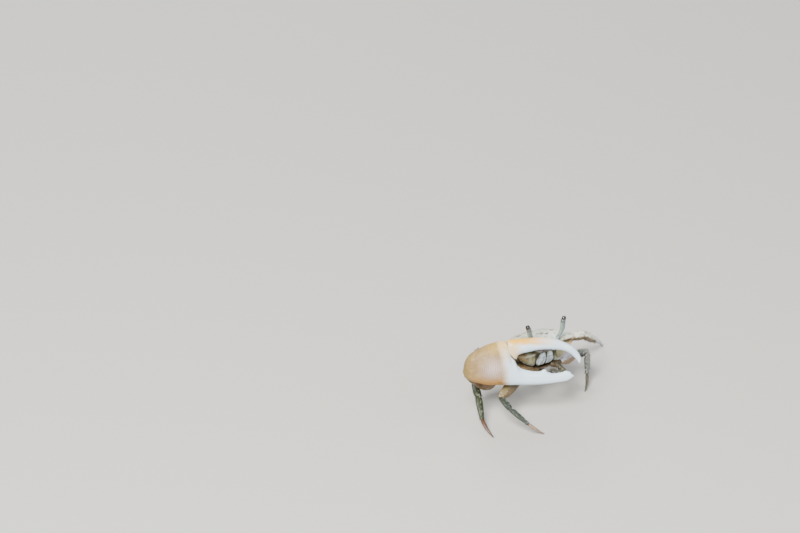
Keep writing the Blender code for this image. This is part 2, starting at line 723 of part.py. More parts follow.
def make_antenna(side_name, side, collection):
    """A short feeler on a curve from the inner end of the eye socket."""
    points = [body_point((side * x, y, z)) for x, y, z in FEELER_PATH]
    data = bpy.data.curves.new(f"antenna_{side_name}", "CURVE")
    data.dimensions = "3D"
    data.bevel_depth = MM
    data.bevel_resolution = 1
    data.use_fill_caps = True
    data.resolution_u = 3
    spline = data.splines.new("POLY")
    spline.points.add(len(points) - 1)
    for spot, point, radius in zip(spline.points, points, FEELER_RADII):
        spot.co = (*((point - points[0]) * MM), 1.0)
        spot.radius = radius
    feeler = mesh_object(f"antenna_{side_name}", data, collection)
    feeler.location = Vector(points[0] * MM)
    return feeler


# Walking legs

def leg_joints(side_name, leg):
    """The five joint points of a leg, from its root on the thorax to its tip on the floor."""
    side = 1 if side_name == "left" else -1
    root = LEG_ROOTS[leg]
    pose = LEG_POSES[side_name, leg]
    points = [body_point((side * root[0], root[1], root[2]))]
    for segment, (heading, pitch) in zip(("merus", "carpus", "propodus"), pose):
        length = LEG_LENGTHS[segment] * LEG_SCALES[leg]
        points.append(points[-1] + length * heading_direction(side, heading, pitch))
    length = LEG_LENGTHS["dactyl"] * LEG_SCALES[leg]
    drop = min(points[-1][2] / length, 0.995)
    pitch = -math.degrees(math.asin(drop))
    points.append(points[-1] + length * heading_direction(side, pose[3], pitch))
    return points


def turned_with(vector, start, end):
    """The vector carried along by the smallest turn that takes direction start to direction end."""
    turn = Vector(start).rotation_difference(Vector(end))
    return np.array(turn @ Vector(vector))


def mitred(ring, along, plane_point, plane_normal, amount):
    """Slide the ring's points along the segment towards a cutting plane, by the given share."""
    slide = ((plane_point - ring) @ plane_normal) / (along @ plane_normal)
    return ring + (slide * amount)[:, None] * along


def segment_rings(rows, sides, joints, thick_axis, planes, scale=1.0, bow=0.0, on_floor=False):
    """Oval rings from joint to joint, cut at each end on the plane that halves the joint's angle.

    A row holds the fraction of the length, the full height and the full thickness; planes are the
    directions that the two cutting planes face.
    """
    start, end = joints
    along = unit(end - start)
    high_axis = np.cross(thick_axis, along)
    length = np.linalg.norm(end - start)
    shape = oval(sides, 2.2)
    near_plane = start + planes[0] * GAP / 2
    far_plane = end if on_floor else end - planes[1] * GAP / 2
    rings = []
    for t, height, thickness in rows:
        t = min(max(t, 0.0), 1.0)
        centre = start + along * length * t + high_axis * bow * 4 * t * (1 - t)
        ring = centre + shape[:, :1] * high_axis * height * scale / 2
        ring = ring + shape[:, 1:] * thick_axis * thickness * scale / 2
        near = max(0.0, 1.0 - length * t / MITRE_BLEND)
        far = max(0.0, 1.0 - length * (1 - t) / MITRE_BLEND)
        ring = mitred(ring, along, near_plane + along * length * t, planes[0], near)
        rings.append(mitred(ring, along, far_plane - along * length * (1 - t), planes[1], far))
    return rings


def joint_planes(points, hip, last):
    """The way of each segment, and the way each joint's cutting plane faces, half way between them."""
    ways = [unit(b - a) for a, b in zip(points, points[1:])]
    return ways, [hip] + [unit(a + b) for a, b in zip(ways, ways[1:])] + [last]


def make_leg(side_name, leg, collection):
    """The four visible segments of a walking leg, as separate pieces."""
    side = 1 if side_name == "left" else -1
    points = leg_joints(side_name, leg)
    ways, planes = joint_planes(points, hip_axis(side, points[1] - points[0]), np.array((0.0, 0.0, -1.0)))
    level = unit(np.cross(ways[0], (0.0, 0.0, 1.0))) * side
    upright = np.cross(level, ways[0]) * side
    roll = math.radians(LEG_ROLLS[side_name, leg])
    thick_axis = level * math.cos(roll) + upright * math.sin(roll)
    pieces = []
    for k, (segment, rows) in enumerate(LEG_SECTIONS.items()):
        if k:
            thick_axis = unit(turned_with(thick_axis, ways[k - 1], ways[k]))
        tip = segment == "dactyl"
        rings = segment_rings(
            smooth_rows(rows, LEG_RINGS[segment]), LEG_SIDES[segment], points[k:k + 2], thick_axis,
            planes[k:k + 2], LEG_SCALES[leg], side * DACTYL_BOW * LEG_SCALES[leg] if tip else 0.0, tip,
        )
        pieces.append(loft(f"leg_{leg}_{side_name}_{segment}", rings, collection))
    return pieces


# Great claw

def claw_rings(sections, count, sides, power):
    """Oval rings of the claw, each between a point of its top edge and a point of its bottom edge."""
    rows = smooth_rows(sections, count)
    shape = oval(sides, power)
    rings = []
    for row in rows:
        top, bottom, thickness = row[:2], row[2:4], max(row[4], 0.4)
        bow = row[5] if len(row) > 5 else 0.0
        middle, half = (top + bottom) / 2, (top - bottom) / 2
        across = middle + shape[:, :1] * half
        back = np.array((-half[1], half[0])) / max(np.linalg.norm(half), 1e-6)
        across = across + (1 - shape[:, :1] ** 2) * bow * back
        rings.append(claw_point(np.column_stack((across, shape[:, 1] * thickness / 2))))
    return rings


def edge_teeth(rings, edge, row, collection, name):
    """A row of blunt teeth on one edge of the claw, their sizes varied by a seeded draw."""
    draw = random.Random(7)
    edge_points = np.array([ring[edge] for ring in rings])
    middles = np.array([ring.mean(0) for ring in rings])
    teeth = []
    for k in range(TOOTH_COUNT):
        place = (row[0] + (row[1] - row[0]) * k / (TOOTH_COUNT - 1)) * (len(rings) - 1)
        index = min(int(place), len(rings) - 2)
        part = place - index
        spot = edge_points[index] * (1 - part) + edge_points[index + 1] * part
        middle = middles[index] * (1 - part) + middles[index + 1] * part
        up = unit(spot - middle)
        size = BIG_TEETH.get(k, 1.0) * draw.uniform(*TOOTH_SPREAD)
        foot = spot - up * TOOTH_SINK
        tip = spot + up * TOOTH_HEIGHT * (0.5 + 0.5 * size)
        radius = TOOTH_RADIUS * (0.6 + 0.4 * size)
        tip_radius = radius * TOOTH_TIP_SHARE
        teeth.append(cone(f"{name}_tooth_{k}", foot, tip, radius, tip_radius, TOOTH_SIDES, collection))
    return teeth


def make_great_claw(collection):
    """Hand with its fixed finger, moving finger, carpus and merus of the great claw."""
    hand_rings = claw_rings(HAND_SECTIONS, HAND_RINGS, HAND_SIDES, 2.3)
    hand = loft("great_claw_hand", hand_rings, collection)
    combine(hand, edge_teeth(hand_rings, 0, HAND_TOOTH_ROW, collection, "hand"), "UNION")
    finger_rings = claw_rings(FINGER_SECTIONS, FINGER_RINGS, FINGER_SIDES, 2.2)
    finger = loft("great_claw_finger", finger_rings, collection)
    biting_edge = FINGER_SIDES // 2
    combine(finger, edge_teeth(finger_rings, biting_edge, FINGER_TOOTH_ROW, collection, "finger"), "UNION")
    elbow = unit(GREAT_ELBOW_WAY)
    carpus = arm_loft("great_claw_carpus", GREAT_CARPUS_SECTIONS, 10, 14, {0: elbow}, collection)
    cut_clear(carpus, hand, collection)
    x, y, z = LEG_ROOTS[1]
    axis = unit(CLAW_HIP_WAYS["right"])
    hip = body_point((-x, y, z)) + axis * GAP / 2
    merus_sections = ((*into_claw(hip), *GREAT_MERUS_ROOT), *GREAT_MERUS_SECTIONS)
    hip_way = np.array([axis @ way for way in claw_axes()])
    merus = arm_loft("great_claw_merus", merus_sections, 10, 12, {0: hip_way, -1: elbow}, collection)
    return hand, finger, carpus, merus


def arm_loft(name, sections, count, sides, end_ways, collection):
    """A loft of ovals square to a path in the great claw's frame, or at its ends to the given ways."""
    rows = smooth_rows(sections, count)
    shape = oval(sides, 2.2)
    path = rows[:, :3]
    along = np.gradient(path, axis=0)
    for end, way in end_ways.items():
        along[end] = way
    rings = []
    for row, way in zip(rows, along):
        across = unit(np.cross(way, (0.0, 1.0, 0.0)))
        high = unit(np.cross(across, way))
        ring = row[:3] + shape[:, :1] * high * row[3] / 2 + shape[:, 1:] * across * row[4] / 2
        rings.append(claw_point(ring))
    return loft(name, rings, collection)


# Small claw

def make_small_claw(collection):
    """Merus, carpus, hand with fixed finger, and moving finger of the small feeding claw."""
    root = body_point(LEG_ROOTS[1])
    points = [root, *(np.array(p) for p in SMALL_CLAW_JOINTS)]
    ways, planes = joint_planes(points, unit(CLAW_HIP_WAYS["left"]), unit(points[-1] - points[-2]))
    thick_axis = unit(np.cross(ways[0], (0.0, 0.0, 1.0)))
    pieces = []
    for k, (joint, rows) in enumerate(SMALL_CLAW_SECTIONS.items()):
        if k:
            thick_axis = unit(turned_with(thick_axis, ways[k - 1], ways[k]))
        rings = segment_rings(smooth_rows(rows, 6), 10, points[k:k + 2], thick_axis, planes[k:k + 2])
        pieces.append(loft(f"small_claw_{joint}", rings, collection))
    thick_axis = unit(turned_with(thick_axis, ways[1], ways[2]))
    high_axis = np.cross(thick_axis, ways[2])
    start = points[2] + planes[2] * GAP / 2
    length = np.linalg.norm(points[3] - start)
    for name, rows in (("hand", SMALL_HAND_ROWS), ("finger", SMALL_FINGER_ROWS)):
        shape = oval(10, 2.2)
        rings = []
        for t, top, bottom, grow in rows:
            centre = start + ways[2] * length * t + high_axis * SMALL_HAND_HEIGHT * (top + bottom) / 2
            ring = centre + shape[:, :1] * high_axis * SMALL_HAND_HEIGHT * (top - bottom) / 2
            ring = ring + shape[:, 1:] * thick_axis * SMALL_HAND_THICKNESS * grow / 2
            if t == 0.0:
                ring = mitred(ring, ways[2], start, planes[2], 1.0)
            rings.append(ring)
        pieces.append(loft(f"small_claw_{name}", rings, collection))
    return pieces


# Finish and assembly

COLOURS = {
    "shell": ((0.72, 0.74, 0.62), 0.4),
    "thorax": ((0.42, 0.38, 0.26), 0.5),
    "tail": ((0.62, 0.6, 0.48), 0.5),
    "mouth": ((0.55, 0.64, 0.7), 0.35),
    "stalk": ((0.36, 0.46, 0.52), 0.35),
    "cornea": ((0.02, 0.02, 0.025), 0.1),
    "feeler": ((0.35, 0.3, 0.2), 0.5),
    "leg": ((0.3, 0.33, 0.22), 0.45),
    "leg_tip": ((0.22, 0.12, 0.06), 0.45),
    "hand": ((0.76, 0.46, 0.26), 0.4),
    "finger": ((0.85, 0.86, 0.86), 0.3),
    "small_claw": ((0.72, 0.68, 0.52), 0.4),
}


def main():
    for old in list(bpy.data.objects):
        bpy.data.objects.remove(old)
    collection = bpy.data.collections.new("fiddler_crab")
    bpy.context.scene.collection.children.link(collection)
    finishes = {name: material(name, *look) for name, look in COLOURS.items()}
    finished = {}

    def keep(pieces, finish):
        for piece in pieces:
            finished[piece] = finish

    carapace = make_carapace(collection)
    thorax = make_thorax(collection)
    keep([carapace], "shell")
    keep([thorax], "thorax")
    keep([make_abdomen(collection)], "tail")
    for side_name, side in (("left", 1), ("right", -1)):
        keep([make_maxilliped(side_name, side, collection)], "mouth")
        stalk, cornea = make_eye(side_name, side, collection)
        keep([stalk], "stalk")
        keep([cornea], "cornea")
        keep([make_antenna(side_name, side, collection)], "feeler")
        for leg in LEG_SCALES:
            pieces = make_leg(side_name, leg, collection)
            keep(pieces[:3], "leg")
            keep(pieces[3:], "leg_tip")
    hand, finger, carpus, merus = make_great_claw(collection)
    keep([hand, carpus, merus], "hand")
    keep([finger], "finger")
    small_claw = make_small_claw(collection)
    keep(small_claw, "small_claw")

    stand = bpy.data.objects.new("crab", None)
    stand.location = (-MIDDLE_X * MM, -MIDDLE_Y * MM, 0.0)
    collection.objects.link(stand)
    for piece, finish in finished.items():
        piece.data.materials.clear()
        piece.data.materials.append(finishes[finish])
        if piece.type == "MESH":
            piece.data.shade_smooth()
        piece.parent = stand
    bpy.context.view_layer.update()


main()
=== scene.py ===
"""The looks of a life-size male fiddler crab, standing with its great claw folded across its face.

Every surface is a function of two parameters, worked out with numpy in millimetres in the crab's own
frame: x runs to the crab's left, the face looks along -y, z is up and the floor is z = 0.
"""

import itertools
import math

import bpy
import numpy as np
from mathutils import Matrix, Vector


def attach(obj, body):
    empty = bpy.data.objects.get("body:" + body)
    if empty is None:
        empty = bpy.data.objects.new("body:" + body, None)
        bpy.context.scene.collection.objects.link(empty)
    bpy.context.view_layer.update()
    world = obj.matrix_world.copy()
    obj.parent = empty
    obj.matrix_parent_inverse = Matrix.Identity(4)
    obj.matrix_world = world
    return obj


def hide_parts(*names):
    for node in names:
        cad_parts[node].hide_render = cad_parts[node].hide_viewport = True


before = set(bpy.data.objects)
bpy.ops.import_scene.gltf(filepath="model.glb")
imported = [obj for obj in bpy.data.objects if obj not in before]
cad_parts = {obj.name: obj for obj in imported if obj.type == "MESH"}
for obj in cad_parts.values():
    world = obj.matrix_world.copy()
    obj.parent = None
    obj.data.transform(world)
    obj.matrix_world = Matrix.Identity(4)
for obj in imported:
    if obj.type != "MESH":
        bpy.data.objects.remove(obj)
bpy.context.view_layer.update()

MM = 0.001
SIDES = {"left": 1, "right": -1}
# The middle of the model, in the crab's frame
MIDDLE = np.array((2.05, 9.07, 0.0))

# Shell, in the body's frame
HALF_WIDTH = 8.6
FRONT_REACH = 5.0
CORNER_REACH = 4.4
BACK_REACH = 5.6
CREST = 1.45
CORNER_HEIGHT = 0.28
CORNER_DEPTH = 0.35
FACE_DEPTH = 6.5
FRONT_LOBE = 0.55
STALK_NOTCH = 0.55
STALK_NOTCH_AT = 2.9
SOCKET_DEPTH = 0.75
SOCKET_MIDDLE = -0.95
SOCKET_HALF_HEIGHT = 0.85
SOCKET_FROM = 1.5
SOCKET_TO = 8.0
MOUTH_HALF_WIDTH = 2.75
MOUTH_TOP = -1.5
MOUTH_RECESS = 1.7
BROW_HEIGHT = 17.8
BROW_IN_BODY = np.array((0.0, -5.2, 0.6))
BODY_PITCH = math.radians(15)

# Under side
THORAX_HALF_WIDTH = 4.5
THORAX_DEPTH = 7.3
THORAX_SIDE_RISE = 1.0
THORAX_BACK = 5.0
THORAX_BACK_TAPER = 2.2
THORAX_FRONT_SET_BACK = 0.75
BREAST_FRONT = -2.9
BREAST_TOP = -6.4
BREAST_SIDE_BACK = 1.5
BREAST_SIDE_RISE = 0.7
BREAST_SIDE_DROP = 0.65
ROOF_GAP = 0.45
# Where the grooves between the plates meet the mid line
THORAX_GROOVES = (-1.9, -0.1, 1.7, 3.2)
TAIL_THICKNESS = 0.7
# Along the tail: y, z and half width
TAIL_ROWS = (
    (5.45, -3.1, 2.3), (5.95, -4.0, 2.4), (5.7, -5.6, 2.3), (4.6, -7.1, 2.0),
    (2.6, -7.95, 1.7), (0.4, -8.1, 1.4), (-1.0, -8.0, 1.0), (-1.8, -7.8, 0.6),
)
TAIL_SEGMENTS = 6

# Walking legs, counted from the claw, which is 1
LEG_LENGTHS = {"merus": 12.0, "carpus": 4.7, "propodus": 6.6, "dactyl": 5.6}
LEG_SCALES = {2: 0.9, 3: 1.0, 4: 1.0, 5: 0.84}
LEG_ROOTS = {
    1: (3.5, -3.3, -6.9),
    2: (5.1, -1.8, -6.6),
    3: (5.6, 0.6, -5.4),
    4: (5.4, 2.8, -4.9),
    5: (4.3, 4.6, -4.2),
}
# Length and radius of a leg's hip at scale 1, and of a claw's hip
LEG_HIP = (2.2, 0.62)
CLAW_HIP = (1.7, 0.66)
CLAW_HIP_WAYS = {"left": (0.6, -0.8, -0.05), "right": (-0.75, -0.6, 0.25)}
# Sections of each segment: share of its length, height and thickness
LEG_SECTIONS = {
    "merus": (
        (0.0, 1.7, 1.3), (0.09, 2.1, 1.4), (0.16, 1.85, 1.3), (0.27, 2.7, 1.45),
        (0.48, 3.3, 1.6), (0.72, 3.15, 1.55), (0.9, 2.45, 1.45), (1.0, 1.8, 1.3),
    ),
    "carpus": ((0.0, 1.4, 1.2), (0.22, 1.9, 1.45), (0.6, 2.25, 1.6), (0.9, 2.1, 1.5), (1.0, 1.5, 1.2)),
    "propodus": (
        (0.0, 1.35, 1.1), (0.18, 1.95, 1.4), (0.55, 1.8, 1.35), (0.9, 1.25, 1.0), (1.0, 1.0, 0.85),
    ),
    "dactyl": (
        (0.0, 0.85, 0.75), (0.2, 1.05, 0.85), (0.55, 0.75, 0.62), (0.85, 0.45, 0.42), (1.0, 0.3, 0.3),
    ),
}
DACTYL_BOW = 0.35
# Turn of each leg about its merus, in degrees
LEG_ROLLS = {
    ("right", 2): 40, ("right", 3): 34, ("right", 4): 16, ("right", 5): 8,
    ("left", 2): 14, ("left", 3): 10, ("left", 4): 8, ("left", 5): 5,
}
# How far from a joint the segments follow its plane, and how far from it they are drawn in
MITRE_BLEND = 2.4
JOINT_PINCH = 1.3
# Heading and pitch of merus, carpus and propodus and heading of the dactyl, in degrees
LEG_POSES = {
    ("right", 2): ((-27, -14.6), (-96, -15), (-126, -31), -160),
    ("right", 3): ((10, -17), (-74, -12), (-72, -30), -98),
    ("right", 4): ((70, -22), (100, -10), (112, -36), 130),
    ("right", 5): ((84, -27), (104, -8), (116, -40), 120),
    ("left", 2): ((38.5, -17.5), (-72, 25), (-116, -84), -125),
    ("left", 3): ((47, -9), (5, -10), (26, -38), 32),
    ("left", 4): ((62, -20), (66, -8), (70, -42), 66),
    ("left", 5): ((80, -22), (88, -6), (92, -46), 88),
}

# Great claw, in its own frame: u along it, v up its height and w out of its outer face
CLAW_ROOT = np.array((-22.4, 1.73, 15.85))
CLAW_YAW = math.radians(-20)
CLAW_DROOP = math.radians(-4.3)
CLAW_LEAN = math.radians(15)
CLAW_INWARD = 1.2
CLAW_LENGTH = 30.0
# Sections of the hand with its fixed finger: top u and v, bottom u and v, thickness
HAND_SECTIONS = (
    (0.1, -0.7, 0.1, -1.7, 1.2), (0.4, 1.1, 0.6, -2.75, 2.7), (1.4, 2.9, 1.7, -3.45, 4.0),
    (3.3, 4.2, 4.0, -4.15, 4.9), (5.7, 5.5, 6.4, -4.6, 5.2), (8.1, 6.3, 8.9, -4.65, 5.0),
    (10.1, 6.45, 10.8, -4.65, 4.6), (10.95, 5.0, 12.0, -4.7, 4.2), (11.6, 3.1, 13.0, -4.7, 3.8),
    (12.9, 1.5, 14.0, -4.7, 3.4), (13.6, 0.1, 15.2, -4.75, 3.0), (14.7, -0.8, 16.6, -4.75, 2.7),
    (17.5, -1.45, 18.8, -4.7, 2.4), (20.5, -1.6, 21.3, -4.55, 2.2), (23.2, -2.1, 23.9, -4.25, 1.9),
    (25.7, -1.7, 26.2, -3.95, 1.6), (27.1, -1.8, 27.4, -3.4, 1.2), (27.95, -2.4, 27.95, -2.9, 0.6),
)
# Sections of the moving finger: the same, and how far the section bows back towards the hand
FINGER_SECTIONS = (
    (10.75, 6.6, 13.3, 1.9, 2.6, 0.75), (11.4, 6.85, 13.4, 2.5, 3.1, 0.35),
    (12.9, 7.05, 14.0, 3.2, 3.2, 0.1), (15.5, 7.2, 16.0, 3.8, 3.0, 0.0),
    (18.3, 7.42, 18.4, 4.3, 2.8, 0.0), (21.6, 7.3, 21.0, 4.45, 2.6, 0.0),
    (24.4, 6.5, 23.6, 4.35, 2.3, 0.0), (26.9, 5.35, 25.9, 3.85, 2.0, 0.0),
    (28.6, 3.95, 27.5, 2.8, 1.7, 0.0), (29.6, 2.45, 28.5, 1.75, 1.4, 0.0),
    (29.85, 1.35, 29.1, 0.95, 0.9, 0.0), (29.6, 0.8, 29.35, 0.7, 0.5, 0.0),
)
# Humps of the biting edges: u, half length and height
HAND_HUMPS = ((20.5, 1.0, 0.62), (26.2, 0.8, 0.2))
FINGER_HUMPS = ((17.2, 0.7, 0.07), (22.6, 0.7, 0.1))
# Beaded ridges inside the palm: v at their root and slope
PALM_RIDGES = ((-3.6, 0.75), (3.4, -0.28))
# Arm of the great claw: u, v, w, height and thickness
GREAT_MERUS_ROOT = (1.7, 1.7)
GREAT_MERUS_SECTIONS = (
    (17.1, -2.3, -4.45, 1.75, 1.7), (16.0, -1.9, -3.75, 1.9, 1.8), (14.1, -1.75, -3.8, 2.2, 2.1),
    (12.0, -1.95, -4.5, 3.1, 2.5), (10.3, -2.6, -5.2, 3.9, 2.7), (9.2, -3.0, -5.4, 3.4, 2.4),
)
GREAT_CARPUS_SECTIONS = (
    (8.75, -3.3, -5.3, 3.3, 2.2), (8.0, -3.6, -5.0, 6.2, 3.0), (6.6, -3.95, -4.7, 7.0, 3.6),
    (4.6, -3.5, -4.3, 5.2, 3.8), (2.8, -2.9, -3.6, 4.1, 3.4), (2.0, -2.5, -2.8, 2.6, 2.2),
)
# Way that the plane between carpus and merus faces
GREAT_ELBOW_WAY = (-0.9, -0.4, 0.12)

# Small claw: elbow, wrist and tip in the crab's frame, and share, height and thickness by section
SMALL_CLAW_JOINTS = ((4.6, -2.4, 8.2), (2.9, -3.6, 8.9), (-0.6, -3.4, 11.6))
SMALL_CLAW_SECTIONS = {
    "merus": ((0.0, 1.3, 1.2), (0.2, 1.6, 1.3), (0.6, 1.9, 1.4), (0.9, 1.7, 1.3), (1.0, 1.3, 1.1)),
    "carpus": ((0.0, 1.2, 1.0), (0.3, 1.7, 1.4), (0.7, 1.8, 1.4), (1.0, 1.2, 1.0)),
}
SMALL_HAND_HEIGHT = 1.8
SMALL_HAND_THICKNESS = 1.2
WRIST_GAP = 0.15

# Eyes
STALK_LEANS = {"left": 2.2, "right": 2.5}
STALK_BOWS = {"left": 0.55, "right": 0.3}
STALK_RISE = 6.2
STALK_ROOT_X = 3.0
STALK_SUNK = 1.4
STALK_RADIUS = 0.5
STALK_SWELLING = 0.17
EYE_LENGTH = 1.25
CORNEA_MIDDLE = 0.58
CORNEA_HALF_LENGTH = 0.66
CORNEA_RADIUS = 0.63
CORNEA_FLATNESS = 0.92

# Start of the drawn numbers, which place the bristles
SEED = 11


# Frames and curves

def unit(vectors):
    """The vectors divided by their lengths."""
    vectors = np.asarray(vectors, float)
    return vectors / np.maximum(np.linalg.norm(vectors, axis=-1, keepdims=True), 1e-12)


def body_point(points):
    """Turn points of the body's frame about x by its pitch, and lift them to the height of its brow."""
    c, s = math.cos(BODY_PITCH), math.sin(BODY_PITCH)
    turn = np.array(((1.0, 0.0, 0.0), (0.0, c, s), (0.0, -s, c)))
    origin = np.array((0.0, 0.0, BROW_HEIGHT)) - turn @ BROW_IN_BODY
    return origin + np.asarray(points, float) @ turn.T


def claw_axes():
    """The great claw's three directions: along it, up its height and out of its outer face."""
    level = math.cos(CLAW_DROOP)
    along = np.array((math.cos(CLAW_YAW) * level, math.sin(CLAW_YAW) * level, math.sin(CLAW_DROOP)))
    flat = math.cos(CLAW_LEAN)
    out = np.array((math.sin(CLAW_YAW) * flat, -math.cos(CLAW_YAW) * flat, math.sin(CLAW_LEAN)))
    out = unit(out - along * (out @ along))
    return along, np.cross(out, along), out


def claw_point(points):
    """Root plus u, v and w along the claw's axes, with w less a square of u, so the tips curve inwards."""
    u, v, w = np.split(np.asarray(points, float), 3, -1)
    inward = CLAW_INWARD * (u / CLAW_LENGTH) ** 2
    along, height, out = claw_axes()
    return CLAW_ROOT + u * along + v * height + (w - inward) * out


def into_claw(point):
    """The u, v and w of a point of the crab's frame."""
    u, v, w = ((np.asarray(point) - CLAW_ROOT) @ axis for axis in claw_axes())
    return np.array((u, v, w + CLAW_INWARD * (u / CLAW_LENGTH) ** 2))


def heading_direction(side, heading, pitch):
    """Unit vector turned back by heading from straight out on one side, and up by pitch."""
    h, p = math.radians(heading), math.radians(pitch)
    return np.array((side * math.cos(h) * math.cos(p), math.sin(h) * math.cos(p), math.sin(p)))


def hip_place(side, limb):
    """Where a limb leaves the thorax."""
    return body_point(np.array(LEG_ROOTS[limb]) * (side, 1.0, 1.0))


def hip_axis(side, way):
    """Half way between straight out to the side and the limb's own way."""
    return unit(unit(way) + (side, 0.0, 0.0))


def carried(vector, start, end):
    """The vector turned as the smallest turn takes unit way start to unit way end."""
    axis = np.cross(start, end)
    once = np.cross(axis, vector)
    return vector + once + np.cross(axis, once) / (1.0 + start @ end)


def smooth_rows(rows, count, width=0):
    """Rows on a Catmull-Rom curve through the given rows.

    They are spaced evenly in the curve's own count, or in the distance run by the first width columns.
    """
    rows = np.asarray(rows, float)
    padded = np.vstack((2 * rows[0] - rows[1], rows, 2 * rows[-1] - rows[-2]))

    def curve(place):
        index = np.minimum(place.astype(int), len(rows) - 2)
        t = (place - index)[:, None]
        a, b, c, d = (padded[index + k] for k in range(4))
        square = (2 * a - 5 * b + 4 * c - d) * t**2
        cube = (3 * b - a - 3 * c + d) * t**3
        return 0.5 * (2 * b + (c - a) * t + square + cube)

    place = np.linspace(0.0, len(rows) - 1.0, count)
    if width:
        dense = np.linspace(0.0, len(rows) - 1.0, 40 * len(rows))
        run = np.linalg.norm(np.diff(curve(dense)[:, :width], axis=0), axis=1)
        run = np.concatenate(((0.0,), np.cumsum(run)))
        place = np.interp(np.linspace(0.0, run[-1], count), run, dense)
    return curve(place)


def turns(sides):
    """Angles once round, without the last."""
    return np.linspace(0.0, 2.0 * math.pi, sides, endpoint=False)


def oval(angle, power=2.0):
    """Superellipse: sign and power 2/n of the cosine and of the sine."""
    c, s = np.cos(angle), np.sin(angle)
    return np.sign(c) * np.abs(c) ** (2 / power), np.sign(s) * np.abs(s) ** (2 / power)


def swell(value):
    """Squared cosine hump: one at 0, nothing beyond -1 and 1."""
    return np.where(np.abs(value) < 1.0, np.cos(0.5 * math.pi * np.clip(value, -1, 1)) ** 2, 0.0)


def step(value):
    """Cubic step from nothing at 0 to one at 1."""
    value = np.clip(value, 0.0, 1.0)
    return value * value * (3.0 - 2.0 * value)


def window(value, low, high, rise, fall):
    """One between low and high, with a cubic step up over the rise inside low and down over the fall
    inside high."""
    return step((value - low) / rise) * step((high - value) / fall)


def bell(value):
    """Gauss bell of the value."""
    return np.exp(-np.square(value))


def beads(run, pitch):
    """Raised cosine from 0 to 1, one bead to a pitch."""
    return 0.5 + 0.5 * np.cos(2.0 * math.pi * run / pitch)


# Irregularity

def scatter(cells, seed):
    """Three numbers from 0 to 1 for each whole-number cell: the fractional part of a large sine."""
    lanes = np.array(((127.1, 311.7, 74.7), (269.5, 183.3, 246.1), (113.5, 271.9, 124.6)))
    return (np.sin(cells @ lanes.T + seed) * 43758.5453) % 1.0


def soft_noise(points, pitch, seed=0.0):
    """Value noise from -1 to 1: numbers on a cubic lattice, joined by cubic steps."""
    points = np.asarray(points, float) / pitch
    cell = np.floor(points)
    part = points - cell
    part = part * part * (3.0 - 2.0 * part)
    total = 0.0
    for corner in itertools.product((0, 1), repeat=3):
        weight = np.prod(np.where(np.array(corner) == 1, part, 1.0 - part), axis=-1)
        total = total + weight * scatter(cell + corner, seed)[..., 0]
    return 2.0 * total - 1.0


def grains(points, pitch, seed=0.0):
    """Rounded grains, one to a cube of the given pitch: one minus the square of the nearest's distance."""
    points = np.asarray(points, float) / pitch
    cell = np.floor(points)
    nearest = np.full(points.shape[:-1], 9.0)
    for shift in itertools.product((-1, 0, 1), repeat=3):
        middle = cell + shift + 0.2 + 0.6 * scatter(cell + shift, seed)
        nearest = np.minimum(nearest, np.sum((points - middle) ** 2, axis=-1))
    return np.clip(1.0 - nearest / 0.3, 0.0, 1.0)


# Meshes

# How many rings round off the end of a tube
DOME_RINGS = 5


def normals_of(grid):
    """Outward unit normals of a closed tube of rings: the cross product of its two slopes."""
    around = np.roll(grid, -1, 1) - np.roll(grid, 1, 1)
    normals = unit(np.cross(around, np.gradient(grid, axis=0)))
    outwards = np.sum((grid - grid.mean(1, keepdims=True)) * normals)
    return normals if outwards > 0 else -normals


def raised(grid, relief):
    """The grid with each point moved out along its normal by the relief there."""
    return grid + relief[..., None] * normals_of(grid)


def volume_of(points, faces):
    """Six times the enclosed volume: the sum of triple products over fans of triangles."""
    total = 0.0
    for face in faces:
        for k in range(1, face.shape[1] - 1):
            a, b, c = points[face[:, 0]], points[face[:, k]], points[face[:, k + 1]]
            total += np.sum(a * np.cross(b, c))
    return total


def make_mesh(name, points, faces, uvs, places, uv_name="UVMap"):
    """A mesh of whole arrays, turned right side out, with its uv map and its place attribute."""
    if volume_of(points, faces) < 0:
        faces = [face[:, ::-1] for face in faces]
        uvs = [uv[:, ::-1] for uv in uvs]
    mesh = bpy.data.meshes.new(name)
    loops = np.concatenate([face.ravel() for face in faces])
    sizes = np.concatenate([np.full(len(face), face.shape[1]) for face in faces])
    mesh.vertices.add(len(points))
    mesh.vertices.foreach_set("co", ((points - MIDDLE) * MM).ravel())
    mesh.loops.add(len(loops))
    mesh.loops.foreach_set("vertex_index", loops)
    mesh.polygons.add(len(sizes))
    mesh.polygons.foreach_set("loop_start", np.cumsum(sizes) - sizes)
    mesh.update(calc_edges=True)
    layer = mesh.uv_layers.new(name=uv_name)
    layer.data.foreach_set("uv", np.concatenate([uv.reshape(-1, 2) for uv in uvs]).ravel())
    kept = mesh.attributes.new("place", "FLOAT_VECTOR", "POINT")
    kept.data.foreach_set("vector", np.asarray(places, float).ravel())
    mesh.shade_smooth()
    return mesh


def piece(mesh, finish, slot, *stands_for):
    """Put a mesh in the scene as a piece of the crab's one body, in place of the solids it stands for."""
    thing = bpy.data.objects.new(mesh.name, mesh)
    bpy.context.scene.collection.objects.link(thing)
    mesh.materials.append(finish)
    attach(thing, "root")
    if stands_for:
        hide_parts(*stands_for)


